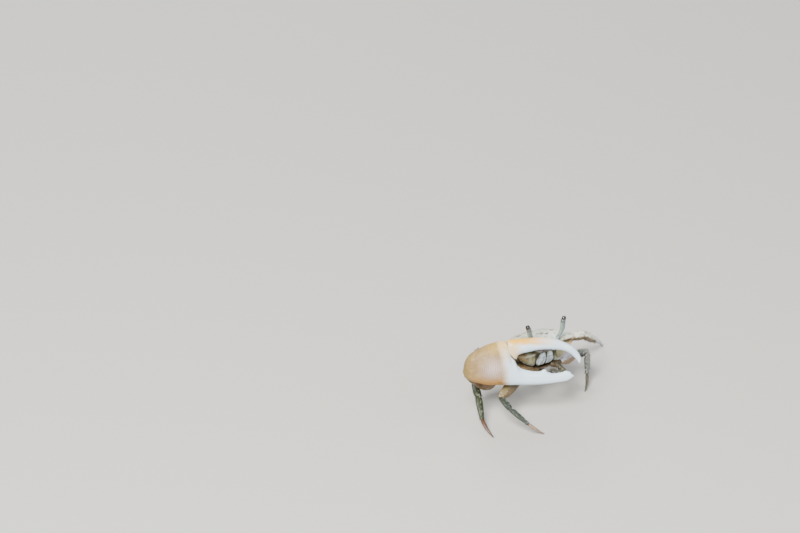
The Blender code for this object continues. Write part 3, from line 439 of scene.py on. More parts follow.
def tube_mesh(name, grid, places):
    """A closed tube through rings of points, a fan on each end, its uv map the ring and the turn."""
    count, sides = grid.shape[:2]
    points = np.concatenate((grid.reshape(-1, 3), grid[:1].mean(1), grid[-1:].mean(1)))
    places = np.concatenate((places.reshape(-1, 3), places[:1].mean(1), places[-1:].mean(1)))
    index = np.arange(count * sides).reshape(count, sides)
    after = np.roll(index, -1, 1)
    pole = np.full(sides, count * sides)
    faces = [
        np.stack((index[:-1], after[:-1], after[1:], index[1:]), -1).reshape(-1, 4),
        np.stack((after[0], index[0], pole), 1),
        np.stack((index[-1], after[-1], pole + 1), 1),
    ]
    row, turn = np.meshgrid(np.arange(count) / (count - 1), np.arange(sides) / sides, indexing="ij")
    here = np.stack((row, turn), -1)
    there = here + (0.0, 1.0 / sides)
    middle = here + (0.0, 0.5 / sides)
    uvs = [
        np.stack((here[:-1], there[:-1], there[1:], here[1:]), 2).reshape(-1, 4, 2),
        np.stack((there[0], here[0], middle[0]), 1),
        np.stack((here[-1], there[-1], middle[-1]), 1),
    ]
    return make_mesh(name, points, faces, uvs, places)


def tube(name, grid, places, finish, slot, *stands_for, relief=None):
    """A piece made of a closed tube, its skin raised by the relief."""
    if relief is not None:
        grid = raised(grid, relief)
    piece(tube_mesh(name, grid, places), finish, slot, *stands_for)


def dome(ring, way, depth):
    """Rings that round off an end: a quarter oval of the ring's shape, the given depth along the way."""
    angle = np.linspace(0.0, 0.5 * math.pi, DOME_RINGS + 2)[1:-1, None, None]
    middle = ring.mean(0)
    return middle + np.cos(angle) * (ring - middle) + np.sin(angle) * depth * way


def rounded_ends(grid, places, first_depth, last_depth, way=None):
    """A tube with both ends rounded off along its own run or along the given way, and its places repeated
    there. A last depth of nothing leaves the last end flat."""
    if way is None:
        first_way = unit(grid[0].mean(0) - grid[1].mean(0))
        last_way = unit(grid[-1].mean(0) - grid[-2].mean(0))
    else:
        first_way, last_way = -way, way
    before = dome(grid[0], first_way, first_depth)[::-1]
    after = dome(grid[-1], last_way, last_depth) if last_depth else grid[:0]
    spots = (np.repeat(places[:1], len(before), 0), places, np.repeat(places[-1:], len(after), 0))
    return np.concatenate((before, grid, after)), np.concatenate(spots)


# Material making

def shade(red, green, blue):
    """A colour as a screen shows it, each channel up to 255, raised to the power that makes it linear."""
    return (*((channel / 255) ** 2.2 for channel in (red, green, blue)), 1.0)


class Wire:
    """A socket of a material: arithmetic on it adds Math nodes and gives the last one's wire."""

    def __init__(self, finish, socket):
        self.finish = finish
        self.socket = socket

    def math(self, operation, *values):
        """Wire out of a Math node that works on the values."""
        return self.finish.add("ShaderNodeMath", {"operation": operation}, dict(enumerate(values)))

    def __add__(self, other):
        return self.math("ADD", self, other)

    def __sub__(self, other):
        return self.math("SUBTRACT", self, other)

    def __rsub__(self, other):
        return self.math("SUBTRACT", other, self)

    def __mul__(self, other):
        return self.math("MULTIPLY", self, other)

    def __abs__(self):
        return self.math("ABSOLUTE", self)

    __radd__ = __add__
    __rmul__ = __mul__

    def between(self, low, high):
        """Smooth step from 0 at low to 1 at high, falling where low is the higher."""
        settings = {"interpolation_type": "SMOOTHSTEP"}
        inputs = {"Value": self, "From Min": low, "From Max": high}
        return self.finish.add("ShaderNodeMapRange", settings, inputs)

    def near(self, middle, width):
        """Gauss bell about the middle."""
        part = (self - middle) * (1.0 / width)
        return self.math("EXPONENT", -1.0 * (part * part))

    def wave(self, pitch):
        """Sine of the value with the given pitch."""
        return self.math("SINE", self * (2.0 * math.pi / pitch))


class Finish:
    """A material in the making, which reads the place attribute of its piece, in millimetres."""

    def __init__(self, name):
        self.material = bpy.data.materials.new(name)
        self.material.use_nodes = True
        self.tree = self.material.node_tree
        self.shader = self.tree.nodes["Principled BSDF"]
        self.place = self.add("ShaderNodeAttribute", {"attribute_name": "place"}, output="Vector")
        parts = self.add("ShaderNodeSeparateXYZ", inputs={0: self.place}).socket.node.outputs
        self.x, self.y, self.z = (Wire(self, part) for part in parts)
        self.colour = None

    def add(self, kind, settings=None, inputs=None, output=0):
        """Add a node, set its settings first and then its inputs' values or links, and give one output."""
        node = self.tree.nodes.new(kind)
        for name, value in (settings or {}).items():
            setattr(node, name, value)
        for name, value in (inputs or {}).items():
            self.put(node.inputs[name], value)
        return Wire(self, node.outputs[output])

    def put(self, socket, value):
        """Link a wire to a socket, or set the socket's own value."""
        if isinstance(value, Wire):
            self.tree.links.new(value.socket, socket)
        else:
            socket.default_value = value

    def stretched(self, *scales):
        """The place, each part of it multiplied by its own scale."""
        return self.add("ShaderNodeVectorMath", {"operation": "MULTIPLY"}, {0: self.place, 1: scales})

    def noise(self, scale, detail=2.0, vector=None):
        """Soft noise from 0 to 1, with the given number of lumps to the millimetre."""
        inputs = {"Vector": vector or self.place, "Scale": scale, "Detail": detail}
        return self.add("ShaderNodeTexNoise", inputs=inputs)

    def cells(self, scale, vector=None):
        """Distance to the nearest of scattered points, with the given number of them to the millimetre."""
        return self.add("ShaderNodeTexVoronoi", inputs={"Vector": vector or self.place, "Scale": scale})

    def mix(self, mask, first, second):
        """The first colour where the mask is 0, going over to the second where it is 1."""
        return self.add("ShaderNodeMix", {"data_type": "RGBA"}, {0: mask, 6: first, 7: second}, 2)

    def paint(self, mask, tone):
        """Lay a tone over the colour so far, where the mask is 1."""
        self.colour = self.mix(mask, self.colour, tone)

    def done(self, roughness, height, depth, coat, coat_roughness=0.03):
        """Link the colour, roughness and bump, whose depth is in millimetres, and set the clear coat."""
        self.put(self.shader.inputs["Base Color"], self.colour)
        self.put(self.shader.inputs["Roughness"], roughness)
        bump = self.add("ShaderNodeBump", inputs={"Distance": depth * MM, "Height": height})
        self.put(self.shader.inputs["Normal"], bump)
        self.put(self.shader.inputs["Coat Weight"], coat)
        self.put(self.shader.inputs["Coat Roughness"], coat_roughness)
        return self.material


# Shell

def shell_limits(x):
    """Front, back, top and bottom reach at x: powers of the share of the half width, with a bell for the
    lobe between the eyes and one for the notch of each eyestalk."""
    t = np.minimum(np.abs(x) / HALF_WIDTH, 1.0)
    lobe = FRONT_LOBE * bell(x / 1.3)
    notch = STALK_NOTCH * bell((np.abs(x) - STALK_NOTCH_AT) / 0.8)
    front = -FRONT_REACH - lobe + notch + (FRONT_REACH - CORNER_REACH) * t**3
    back = BACK_REACH - (BACK_REACH + CORNER_REACH - 0.5) * t**4.5
    top = CORNER_HEIGHT + (CREST - CORNER_HEIGHT) * (1.0 - t**2.2)
    bottom = CORNER_DEPTH + (FACE_DEPTH - CORNER_DEPTH) * (1.0 - t**2.6) ** 0.9
    return front, back, top, bottom


def shell_arc(x, angle):
    """y and z at x and an angle up from the front: a quarter superellipse for each of the four quarters,
    pushed in by a squared cosine at the eye sockets and by a step at the mouth."""
    front, back, top, bottom = shell_limits(x)
    middle = 0.5 * (front + back)
    c, s = np.cos(angle), np.sin(angle)
    power = np.where(s > 0, 2.6, 3.0)
    y = middle - np.sign(c) * np.where(c > 0, middle - front, back - middle) * np.abs(c) ** (2 / power)
    z = np.sign(s) * np.where(s > 0, top, bottom) * np.abs(s) ** (2 / power)
    beside = window(np.abs(x), SOCKET_FROM, SOCKET_TO, 0.5, 0.9)
    socket = SOCKET_DEPTH * beside * swell((z - SOCKET_MIDDLE) / SOCKET_HALF_HEIGHT)
    within = step((MOUTH_HALF_WIDTH + 0.35 - np.abs(x)) / 0.35)
    mouth = MOUTH_RECESS * within * step((MOUTH_TOP - z) / 0.4)
    return y + np.where(c > 0, socket + mouth, 0.0), z


# Where the arc of the shell begins, at the foot of the face, and ends, under the back margin
ARC_ENDS = (math.radians(-60), math.radians(192))


def under_knots(x):
    """The shell's hidden under side at x, as four points from its back margin to the foot of the face."""
    front, back, _, bottom = shell_limits(x)
    middle = 0.5 * (front + back)
    fore_y, fore_z = shell_arc(x, ARC_ENDS[0])
    rear_y, rear_z = shell_arc(x, ARC_ENDS[1])
    y = (rear_y, middle + 0.3 * (rear_y - middle), middle + 0.55 * (fore_y - middle), fore_y)
    z = (rear_z, -0.45 * bottom, -0.5 * bottom, fore_z)
    return np.stack((np.stack(y, -1), np.stack(z, -1)), -1)


def along_knots(knots, count):
    """Points spaced evenly on the straight runs between knots, the last knot left out."""
    share = np.arange(count) / count
    starts, steps = knots[:, :-1, None], np.diff(knots, axis=1)[:, :, None]
    return (starts + steps * share[:, None]).reshape(len(knots), -1, 2)


def arc_angles():
    """Angles round the shell, crowded by a power where its section turns sharply, at its front and back."""
    face = ARC_ENDS[0] * np.linspace(1.0, 0.0, 76, endpoint=False) ** 1.5
    brow = 0.5 * math.pi * np.linspace(0.0, 1.0, 60, endpoint=False) ** 1.4
    rear = math.pi - 0.5 * math.pi * np.linspace(1.0, 0.0, 46, endpoint=False) ** 1.4
    below = math.pi + (ARC_ENDS[1] - math.pi) * np.linspace(0.0, 1.0, 12, endpoint=False) ** 1.5
    return np.concatenate((face, brow, rear, below))


def margin_line(y):
    """Distance from the mid line of the raised line that runs back and in from each outer corner."""
    return 8.2 - 0.075 * np.clip(y + CORNER_REACH, 0.0, None) ** 1.85


def shell_relief(x, y, z):
    """Sum of bells: the H-shaped groove, the raised side lines, the rims of the sockets with their beads,
    the swellings of the back, fine grains on the cheeks and a little unevenness."""
    across = np.abs(x)
    top = step((z - 0.1) / 0.4)
    legs_of_h = bell((across - 2.3 - 0.12 * y) / 0.35) * window(y, -3.0, 3.4, 1.2, 1.2)
    bar_of_h = bell((y - 0.5) / 0.32) * step((2.6 - across) / 0.6)
    branches = bell((across - 4.6) / 1.5) * bell((y - 0.6) / 2.4)
    total = top * (-0.16 * np.maximum(legs_of_h, bar_of_h) + 0.18 * branches)
    total = total + 0.13 * bell((across - margin_line(y)) / 0.13) * top * step((2.6 - y) / 0.8)
    face = step((-2.6 - y) / 0.8)
    beside = step((across - 1.6) / 0.5)
    total = total + 0.09 * bell((z - 0.12) / 0.12) * face * beside
    rim = (0.07 + 0.13 * beads(across, 0.46)) * bell((z + 1.92) / 0.15)
    total = total + rim * face * beside * step((7.6 - across) / 0.6)
    spots = np.stack((x, y, z), -1)
    cheek = face * step((-2.1 - z) / 0.4) * step((across - MOUTH_HALF_WIDTH - 0.3) / 0.3)
    total = total + 0.07 * cheek * grains(spots, 0.36)
    edge = bell((across - MOUTH_HALF_WIDTH - 0.42) / 0.16) * face * step((MOUTH_TOP - z) / 0.4)
    return total + 0.12 * edge + 0.03 * soft_noise(spots, 0.9) + 0.018 * grains(spots, 0.5, 3.0) * top


def make_shell(finish):
    """The shell with its face: one tube from corner to corner."""
    share = np.linspace(-1.0, 1.0, 261)
    x = HALF_WIDTH * np.sin(share * 0.48 * math.pi) / math.sin(0.48 * math.pi)
    y, z = shell_arc(x[:, None], arc_angles()[None, :])
    under = along_knots(under_knots(x), 12)
    y = np.concatenate((y, under[..., 0]), 1)
    z = np.concatenate((z, under[..., 1]), 1)
    body = np.stack((np.broadcast_to(x[:, None], y.shape), y, z), -1)
    relief = shell_relief(*np.moveaxis(body, -1, 0))
    relief[:, -under.shape[1]:] = 0.0
    tube("shell_surface", body_point(body), body, finish, "shell", "carapace", relief=relief)


# Under side

def thorax_outline(x, count):
    """The section of the thorax at x: straight runs under the shell and down to the breast, and a floor
    whose depth is a sine to a power."""
    behind, rear, fore = np.moveaxis(under_knots(x), 1, 0)[:3]
    share = np.minimum(np.abs(x) / THORAX_HALF_WIDTH, 1.0)
    back = THORAX_BACK - THORAX_BACK_TAPER * share**2
    slope = (behind[:, 1] - rear[:, 1]) / (behind[:, 0] - rear[:, 0])
    chin = under_knots(np.array((HALF_WIDTH / 2,)))[0, 3]
    set_back = THORAX_FRONT_SET_BACK
    front = np.full(len(x), chin[0] + MOUTH_RECESS + set_back)
    breast = BREAST_FRONT + BREAST_SIDE_BACK * share**2
    roof_y = np.stack((back, rear[:, 0], fore[:, 0] + set_back, front, front, breast), -1)
    top = BREAST_TOP + BREAST_SIDE_RISE * share**2
    over = rear[:, 1] + slope * (back - rear[:, 0])
    levels = [level - ROOF_GAP for level in (over, rear[:, 1], fore[:, 1], np.full(len(x), chin[1]))]
    roof_z = np.stack((*levels, top, top - BREAST_SIDE_DROP * share**2), -1)
    knots = np.stack((roof_y, roof_z), -1)
    deep = (-THORAX_DEPTH + THORAX_SIDE_RISE * share**2)[:, None]
    t = np.linspace(0.0, 1.0, count, endpoint=False)[None, :]
    start, end = knots[:, -1:], knots[:, :1]
    y = start[..., 0] + (end[..., 0] - start[..., 0]) * (0.5 - 0.5 * np.cos(math.pi * t))
    level = start[..., 1] + (end[..., 1] - start[..., 1]) * t**2.2
    z = level + (deep - level) * np.sin(math.pi * t) ** 0.6
    return np.concatenate((along_knots(knots, 10), np.stack((y, z), -1)), 1)


def make_thorax(finish):
    """The thorax, drawn in towards each end, with a groove between the plates of each pair of legs."""
    x = THORAX_HALF_WIDTH * np.sin(np.linspace(-0.5, 0.5, 97) * math.pi)
    outline = thorax_outline(x, 90)
    body = np.concatenate((np.broadcast_to(x[:, None, None], (*outline.shape[:2], 1)), outline), 2)
    middle = body.mean(1, keepdims=True)
    shrink = 1.0 - 0.14 * step((np.abs(x) - 3.9) / 0.6)[:, None, None]
    body = middle + shrink * (body - middle)
    below = step((-5.0 - body[..., 2]) / 0.6)
    across = np.abs(body[..., 0])
    relief = np.zeros(body.shape[:2])
    for place in THORAX_GROOVES:
        groove = bell((body[..., 1] - place - 0.12 * across) / 0.14)
        relief -= 0.16 * groove * below * step((across - 1.1) / 0.4)
    relief += 0.03 * soft_noise(body, 0.8) + 0.02 * grains(body, 0.3)
    tube("thorax_surface", body_point(body), body, finish, "underside", "thorax", relief=relief)


def make_hip(name, root, axis, length, radius, finish):
    """A hip: a turned form, its radius falling by a cosine from the thorax to a groove and a rounded rim
    at the leg."""
    share = np.linspace(0.0, 1.0, 34)[:, None]
    angle = turns(40)[None, :]
    side = unit(np.cross(axis, (0.0, 0.0, 1.0)))
    up = np.cross(side, axis)
    reach = radius + 0.12 * length * (0.5 + 0.5 * np.cos(math.pi * share))
    reach = reach + 0.1 * bell((share - 0.86) / 0.07) - 0.08 * bell((share - 0.62) / 0.06)
    spot = root + axis * (length * (share - 1.0) - 0.05 * share)[..., None]
    grid = spot + reach[..., None] * (np.cos(angle)[..., None] * side + np.sin(angle)[..., None] * up)
    around = (reach * np.cos(angle), reach * np.sin(angle))
    places = np.stack(np.broadcast_arrays(LEG_HIP[0] * share, *around), -1)
    grid, places = rounded_ends(grid, places, 0.2, 0.35)
    tube(name, grid, places, finish, "underside", relief=0.02 * soft_noise(grid, 0.5))


def make_tail(finish):
    """The folded tail: flat superellipses along a curve, a groove at each joint and a raised middle."""
    path = smooth_rows(TAIL_ROWS, 170, 2)
    along = unit(np.gradient(path[:, :2], axis=0))
    c, s = oval(turns(90), 2.6)
    normal = np.stack((np.zeros(len(path)), -along[:, 1], along[:, 0]), -1)
    centre = np.column_stack((np.zeros(len(path)), path[:, :2]))
    body = centre[:, None] + c[:, None] * path[:, None, 2:] * (1.0, 0.0, 0.0)
    body = body + s[:, None] * normal[:, None] * TAIL_THICKNESS / 2
    share = np.broadcast_to(np.linspace(0.0, 1.0, len(path))[:, None], body.shape[:2])
    joint = np.abs((share * TAIL_SEGMENTS) % 1.0 - 0.5) * 2.0
    relief = -0.13 * bell((1.0 - joint) / 0.12) + 0.12 * bell(body[..., 0] / 0.5) * joint
    relief = relief + 0.02 * soft_noise(body, 0.7)
    places = np.stack((body[..., 0], share * TAIL_SEGMENTS, body[..., 1]), -1)
    tube("tail_surface", body_point(body), places, finish, "tail", "abdomen", relief=relief)


# Mouth, eyes and feelers

# Where across the mouth the face is measured
PLATE_MIDDLE = 1.4


def face_reach(z):
    """How far forward the face lies at a height near the mouth: a quarter superellipse."""
    front, back, _, bottom = shell_limits(PLATE_MIDDLE)
    middle = 0.5 * (front + back)
    return middle - (middle - front) * (1.0 - np.abs(z / bottom) ** 3) ** (1 / 3)


PLATE_INNER = 0.17
# Outer edge: shares of the height and distances from the mid line
PLATE_EDGE = ((0.0, 1.6), (0.35, 2.05), (0.7, 2.45), (1.0, 1.95))
PLATE_TOP = -2.1
PLATE_HEIGHT = 3.8
PLATE_THICKNESS = 0.9
PLATE_SET_BACK = (0.0, 0.4)
PLATE_SPLAY = (0.16, 0.3)


def make_mouth_plate(side_name, side, finish):
    """One mouth plate: superellipses down the face, sloping back outwards, with a joint near its top, a
    long groove and a rim."""
    share = np.linspace(0.0, 1.0, 130)[:, None]
    c, s = oval(turns(110)[None, :], 3.0)
    z = PLATE_TOP - PLATE_HEIGHT * share
    outer = smooth_rows(PLATE_EDGE, len(share), 1)[:, 1:]
    grow = 0.5 + 0.5 * np.sin(math.pi * np.clip(share, 0.02, 0.98)) ** 0.4
    x = (PLATE_INNER + outer) / 2 + c * (outer - PLATE_INNER) / 2 * grow
    set_back, splay = (low + (high - low) * share for low, high in (PLATE_SET_BACK, PLATE_SPLAY))
    y = face_reach(z) + set_back + splay * (x - PLATE_INNER) + PLATE_THICKNESS / 2 * (1.0 + s * grow)
    body = np.stack(np.broadcast_arrays(side * x, y, z), -1)
    front = step(-s / 0.5)
    lean = share - 0.06 * (x - 1.3)
    relief = -0.14 * bell((lean - 0.36) / 0.018) * front
    relief = relief - 0.12 * bell((x - 0.75) / 0.09) * front * step((share - 0.38) / 0.04)
    relief = relief + 0.07 * bell((c + 0.93) / 0.06) * front + 0.09 * bell((x - 1.55) / 0.45) * front
    relief = relief + 0.02 * grains(body, 0.22) * front
    places = np.stack(np.broadcast_arrays(x, share * PLATE_HEIGHT, s * np.ones_like(x)), -1)
    name = f"mouth_plate_{side_name}"
    tube(name, body_point(body), places, finish, "mouth_cover", f"maxilliped_{side_name}", relief=relief)


def swept(path, radii, sides, flat=1.0):
    """Ovals square to a path of points: rings turned with the path by cross products with a fixed way."""
    along = unit(np.gradient(path, axis=0))
    side = unit(np.cross(along, (0.0, 1.0, 0.12)))
    up = np.cross(side, along)
    c, s = oval(turns(sides))
    ring = c[None, :, None] * side[:, None] + flat * s[None, :, None] * up[:, None]
    return path[:, None] + np.asarray(radii).reshape(-1, 1, 1) * ring


def stalk_places(grid, reach):
    """Places on an upright tube: cosine and sine of the turn, and the reach along the stalk."""
    angle = np.broadcast_to(turns(grid.shape[1]), grid.shape[:2])
    return np.stack((np.cos(angle), np.sin(angle), np.broadcast_to(reach[:, None], angle.shape)), -1)


def make_eye(side_name, side, stalk_skin, cornea_skin):
    """An eyestalk along a line bowed outwards by a power of a sine, thicker towards the eye, and a long
    cornea round its end, whose rings run by a cosine and widen by a power of a sine."""
    brow = body_point((side * STALK_ROOT_X, BROW_IN_BODY[1], BROW_IN_BODY[2]))
    lean = STALK_LEANS[side_name]
    axis = unit((side * lean, 0.0, STALK_RISE))
    inwards = unit(np.cross(axis, (0.0, 1.0, 0.0))) * side
    neck = math.hypot(lean, STALK_RISE) - EYE_LENGTH
    reach = np.linspace(-STALK_SUNK, neck + 0.25, 110)
    share = np.clip(reach / neck, 0.0, 1.0)
    bow = STALK_BOWS[side_name] * np.sin(math.pi * share) ** 1.2
    path = brow + reach[:, None] * axis - bow[:, None] * inwards
    radius = STALK_RADIUS + STALK_SWELLING * step((reach - neck + 3.4) / 1.8)
    radius = radius + 0.03 * step((0.4 - reach) / 1.2) - 0.12 * step((reach - neck - 0.05) / 0.2)
    grid = swept(path, radius, 48)
    grid, places = rounded_ends(grid, stalk_places(grid, reach), 0.15, 0.1)
    relief = 0.012 * soft_noise(grid, 0.3)
    name = f"eyestalk_{side_name}"
    tube(f"{name}_surface", grid, places, stalk_skin, "eyestalk", name, relief=relief)

    turn = np.linspace(0.0, math.pi, 60)
    blunter = np.where(turn < 0.5 * math.pi, 0.93, 1.0)
    reach = neck + CORNEA_MIDDLE - CORNEA_HALF_LENGTH * np.cos(turn) * blunter
    radius = np.maximum(CORNEA_RADIUS * np.sin(turn) ** 0.8, 0.02)
    grid = swept(brow + reach[:, None] * axis, radius, 56, CORNEA_FLATNESS)
    name = f"cornea_{side_name}"
    tube(f"{name}_surface", grid, stalk_places(grid, reach - neck), cornea_skin, "cornea", name)


# Paths in the body's frame on the left side, each point with the radius there
FEELERS = {
    "antenna": (
        (1.55, -5.75, -1.05, 0.36), (2.0, -6.05, -1.08, 0.34), (2.6, -6.35, -1.02, 0.26),
        (3.2, -6.52, -0.78, 0.2), (3.6, -6.6, -0.5, 0.13),
    ),
    "antennule": (
        (0.35, -5.4, -1.5, 0.34), (0.6, -5.75, -1.3, 0.38), (0.95, -5.85, -1.0, 0.34),
        (1.15, -5.7, -0.75, 0.24),
    ),
}


def make_feeler(kind, side_name, side, finish):
    """A jointed feeler: circles along a smooth path, pinched in at each joint by a cosine."""
    rows = smooth_rows(FEELERS[kind], 90, 3)
    path = body_point(rows[:, :3] * (side, 1.0, 1.0))
    share = np.linspace(0.0, 1.0, len(rows))
    grid = swept(path, rows[:, 3] * (1.0 - 0.12 * np.cos(2.0 * math.pi * share * 5) ** 8), 30)
    places = np.stack(np.broadcast_arrays(share[:, None] * 3.0, *np.moveaxis(grid, -1, 0)[1:]), -1)
    grid, places = rounded_ends(grid, places, 0.2, 0.12)
    replaced = (f"antenna_{side_name}",) if kind == "antenna" else ()
    tube(f"{kind}_{side_name}_surface", grid, places, finish, "feeler", *replaced)


# Walking legs

def leg_joints(side_name, leg):
    """The five joints of a leg: lengths laid off along its headings, the last down to the floor."""
    side = SIDES[side_name]
    pose = LEG_POSES[side_name, leg]
    points = [hip_place(side, leg)]
    for segment, (heading, pitch) in zip(("merus", "carpus", "propodus"), pose):
        length = LEG_LENGTHS[segment] * LEG_SCALES[leg]
        points.append(points[-1] + length * heading_direction(side, heading, pitch))
    length = LEG_LENGTHS["dactyl"] * LEG_SCALES[leg]
    pitch = -math.degrees(math.asin(min(points[-1][2] / length, 0.995)))
    points.append(points[-1] + length * heading_direction(side, pose[3], pitch))
    return points


def joint_planes(points, hip, last):
    """The way of each segment, and the way each joint's plane faces: half way between its neighbours."""
    ways = [unit(b - a) for a, b in zip(points, points[1:])]
    return ways, [hip] + [unit(a + b) for a, b in zip(ways, ways[1:])] + [last]


def segment_grid(rows, sides, joints, axes, planes, scale=1.0, bow=0.0, power=2.2):
    """Superellipses from joint to joint, each point slid along the segment by its share towards the plane
    of the nearer joint, and drawn in there by the cosine of half the bend. A row is a share of the length,
    a height and a thickness; the bow is a parabola."""
    start, end = joints
    high, thick = axes
    along = unit(end - start)
    length = np.linalg.norm(end - start)
    t, height, thickness = (column[:, None] for column in rows.T)
    t = np.clip(t, 0.0, 1.0)
    c, s = oval(turns(sides)[None, :], power)
    narrow = 1.0
    for plane, edge in ((planes[0], length * t), (planes[1], length * (1.0 - t))):
        narrow = narrow - (1.0 - abs(along @ plane)) * np.clip(1.0 - edge / JOINT_PINCH, 0.0, 1.0) ** 1.5
    size = narrow * scale / 2
    run, rise, out = np.broadcast_arrays(length * t, c * height * size, s * thickness * size)
    bowed = rise + bow * 4 * t * (1 - t)
    grid = start + run[..., None] * along + bowed[..., None] * high + out[..., None] * thick
    for place, plane, edge in ((start, planes[0], run), (end, planes[1], length - run)):
        amount = np.clip(1.0 - edge / MITRE_BLEND, 0.0, 1.0)
        target = place + (run - (0.0 if edge is run else length))[..., None] * along
        slide = ((target - grid) @ plane) / (along @ plane)
        grid = grid + (slide * amount)[..., None] * along
    return grid, np.stack((run, rise, out), -1)


# For each segment: rings and sides of its grid, how far its two ends round out, the power of its section
# and the skin it wears
LEG_GRIDS = {"merus": (150, 84), "carpus": (76, 72), "propodus": (92, 68), "dactyl": (84, 40)}
END_DEPTHS = {"merus": (0.5, 0.3), "carpus": (0.75, 0.3), "propodus": (0.7, 0.25), "dactyl": (0.6, 0.0)}
LEG_POWERS = {"merus": 1.9, "carpus": 2.1, "propodus": 2.1, "dactyl": 2.1}
LEG_SKINS = {"merus": "merus", "carpus": "shin", "propodus": "shin", "dactyl": "tip"}


def leg_relief(segment, places, scale, seed):
    """Ridges as bells of the angle round the segment, beads along its edges, wrinkles and fine grains,
    and a raised rim at its far joint."""
    run, rise, out = np.moveaxis(places, -1, 0)
    length = LEG_LENGTHS[segment] * scale
    angle = np.arctan2(out, rise)
    upper = bell(angle / 0.24)
    lower = bell((np.abs(angle) - math.pi) / 0.3)
    edge_beads = beads(run, 0.42)
    inside = window(run, 0.0, length, 0.8, 0.8)
    size = 1.0 if segment == "merus" else 0.6
    if segment == "dactyl":
        ribs = sum(bell((np.abs(angle) - k * math.pi / 3) / 0.2) for k in range(4))
        return inside * (0.05 * ribs * (1.0 - 0.6 * run / length)) + 0.006 * soft_noise(places, 0.3, seed)
    total = inside * size * (0.1 * upper + 0.09 * upper * edge_beads + 0.07 * lower * edge_beads)
    ridge = bell((np.abs(angle) - 0.5 * math.pi) / 0.3)
    total = total + inside * (0.05 if segment == "merus" else 0.07) * ridge
    total = total + 0.07 * bell((length - run - 0.35) / 0.2) - 0.06 * bell((length - run - 0.85) / 0.16)
    wrinkles = soft_noise(places * (3.2, 1.0, 1.0), 0.8, seed)
    return total + inside * (0.028 * wrinkles + 0.03 * grains(places, 0.34, seed) * step(rise / 0.3))


# Bristles of each segment: how many, the shortest and the longest
LEG_BRISTLES = {
    "merus": (70, 0.3, 0.6), "carpus": (60, 0.3, 0.7), "propodus": (110, 0.35, 0.9),
    "dactyl": (70, 0.2, 0.5),
}
# How far bristles lean along their limb, how far they stray, and the share of the uv map for each segment
LEG_LIE = (0.8, 0.25, 0.24)
LEG_BRISTLE_WIDTH = 0.024
BRISTLE_GRID = (4, 3)
BRISTLE_BEND = 0.18
BRISTLE_TAPER = 0.86
# Least height over the floor
BRISTLE_LIFT = 0.02
# Side of a bristle's patch of the uv map
PATCH = 0.003


def tuft(grid, places, chance, way, strip, habit, draw):
    """Roots, ways, lengths and homes of a limb's bristles. Roots are drawn over the cells by their chance.
    A way is the skin's normal with a lean along the limb and a stray, and a home is the root's place on
    the unwrapped skin, in the strip that its segment has there."""
    count, short, long, lean, stray, strip_width = habit
    chance = chance.ravel()
    picks = draw.choice(chance.size, size=count, replace=False, p=chance / chance.sum())
    row, column = np.unravel_index(picks, places.shape[:2])
    lie = unit(normals_of(grid)[row, column] + lean * way + stray * draw.normal(size=(count, 3)))
    home = np.stack(((strip + 0.9 * row / len(grid)) * strip_width, column / grid.shape[1]), -1)
    return grid[row, column], lie, draw.uniform(short, long, count), home


def edge_chance(places):
    """Chance of a bristle: a bell of the angle about each of the two edges, and a little all round."""
    angle = np.arctan2(places[..., 2], places[..., 1])
    return 0.04 + bell(angle / 0.3) + bell((np.abs(angle) - math.pi) / 0.35)


def bristle_mesh(name, tufts, width, scale=1.0):
    """Tapered three-sided bristles, bent aside by a square; each is a patch of the uv map OFBake at its
    root's home on the unwrapped skin."""
    roots, ways, lengths, homes = (np.concatenate(parts) for parts in zip(*tufts))
    rings, sides = BRISTLE_GRID
    t = np.linspace(0.0, 1.0, rings)[None, :, None]
    aside = unit(np.cross(ways, (0.31, 0.52, 0.79)))
    other = np.cross(ways, aside)
    lengths = (lengths * scale)[:, None, None]
    middle = roots[:, None] + lengths * t * ways[:, None] + BRISTLE_BEND * lengths * t**2 * aside[:, None]
    c, s = np.cos(turns(sides)), np.sin(turns(sides))
    ring = c[:, None] * aside[:, None, None] + s[:, None] * other[:, None, None]
    radius = width * (1.0 - BRISTLE_TAPER * t)[..., None]
    points = (middle[:, :, None] + radius * ring).reshape(-1, 3)
    points[:, 2] = np.maximum(points[:, 2], BRISTLE_LIFT)
    index = np.arange(len(points)).reshape(len(roots), rings, sides)
    after = np.roll(index, -1, 2)
    quads = np.stack((index[:, :-1], after[:, :-1], after[:, 1:], index[:, 1:]), -1).reshape(-1, 4)
    caps = np.concatenate((index[:, 0, ::-1], index[:, -1]))
    steps = (np.arange(rings) / (rings - 1), np.arange(sides) / sides)
    patch = np.stack(np.meshgrid(*steps, indexing="ij"), -1)
    flat = (homes[:, None, None] + PATCH * patch).reshape(-1, 2)
    shift = np.array(((0.0, 0.0), (0.0, 1 / sides), (0.0, 1 / sides), (0.0, 0.0))) * PATCH
    corners = np.stack((index[:, :-1], index[:, :-1], index[:, 1:], index[:, 1:]), -1).reshape(-1, 4)
    uvs = [flat[corners] + shift, flat[caps]]
    places = np.repeat((t * lengths)[:, :, None] * (1.0, 0.0, 0.0), sides, 2)
    return make_mesh(name, points, [quads, caps], uvs, places.reshape(-1, 3), "OFBake")


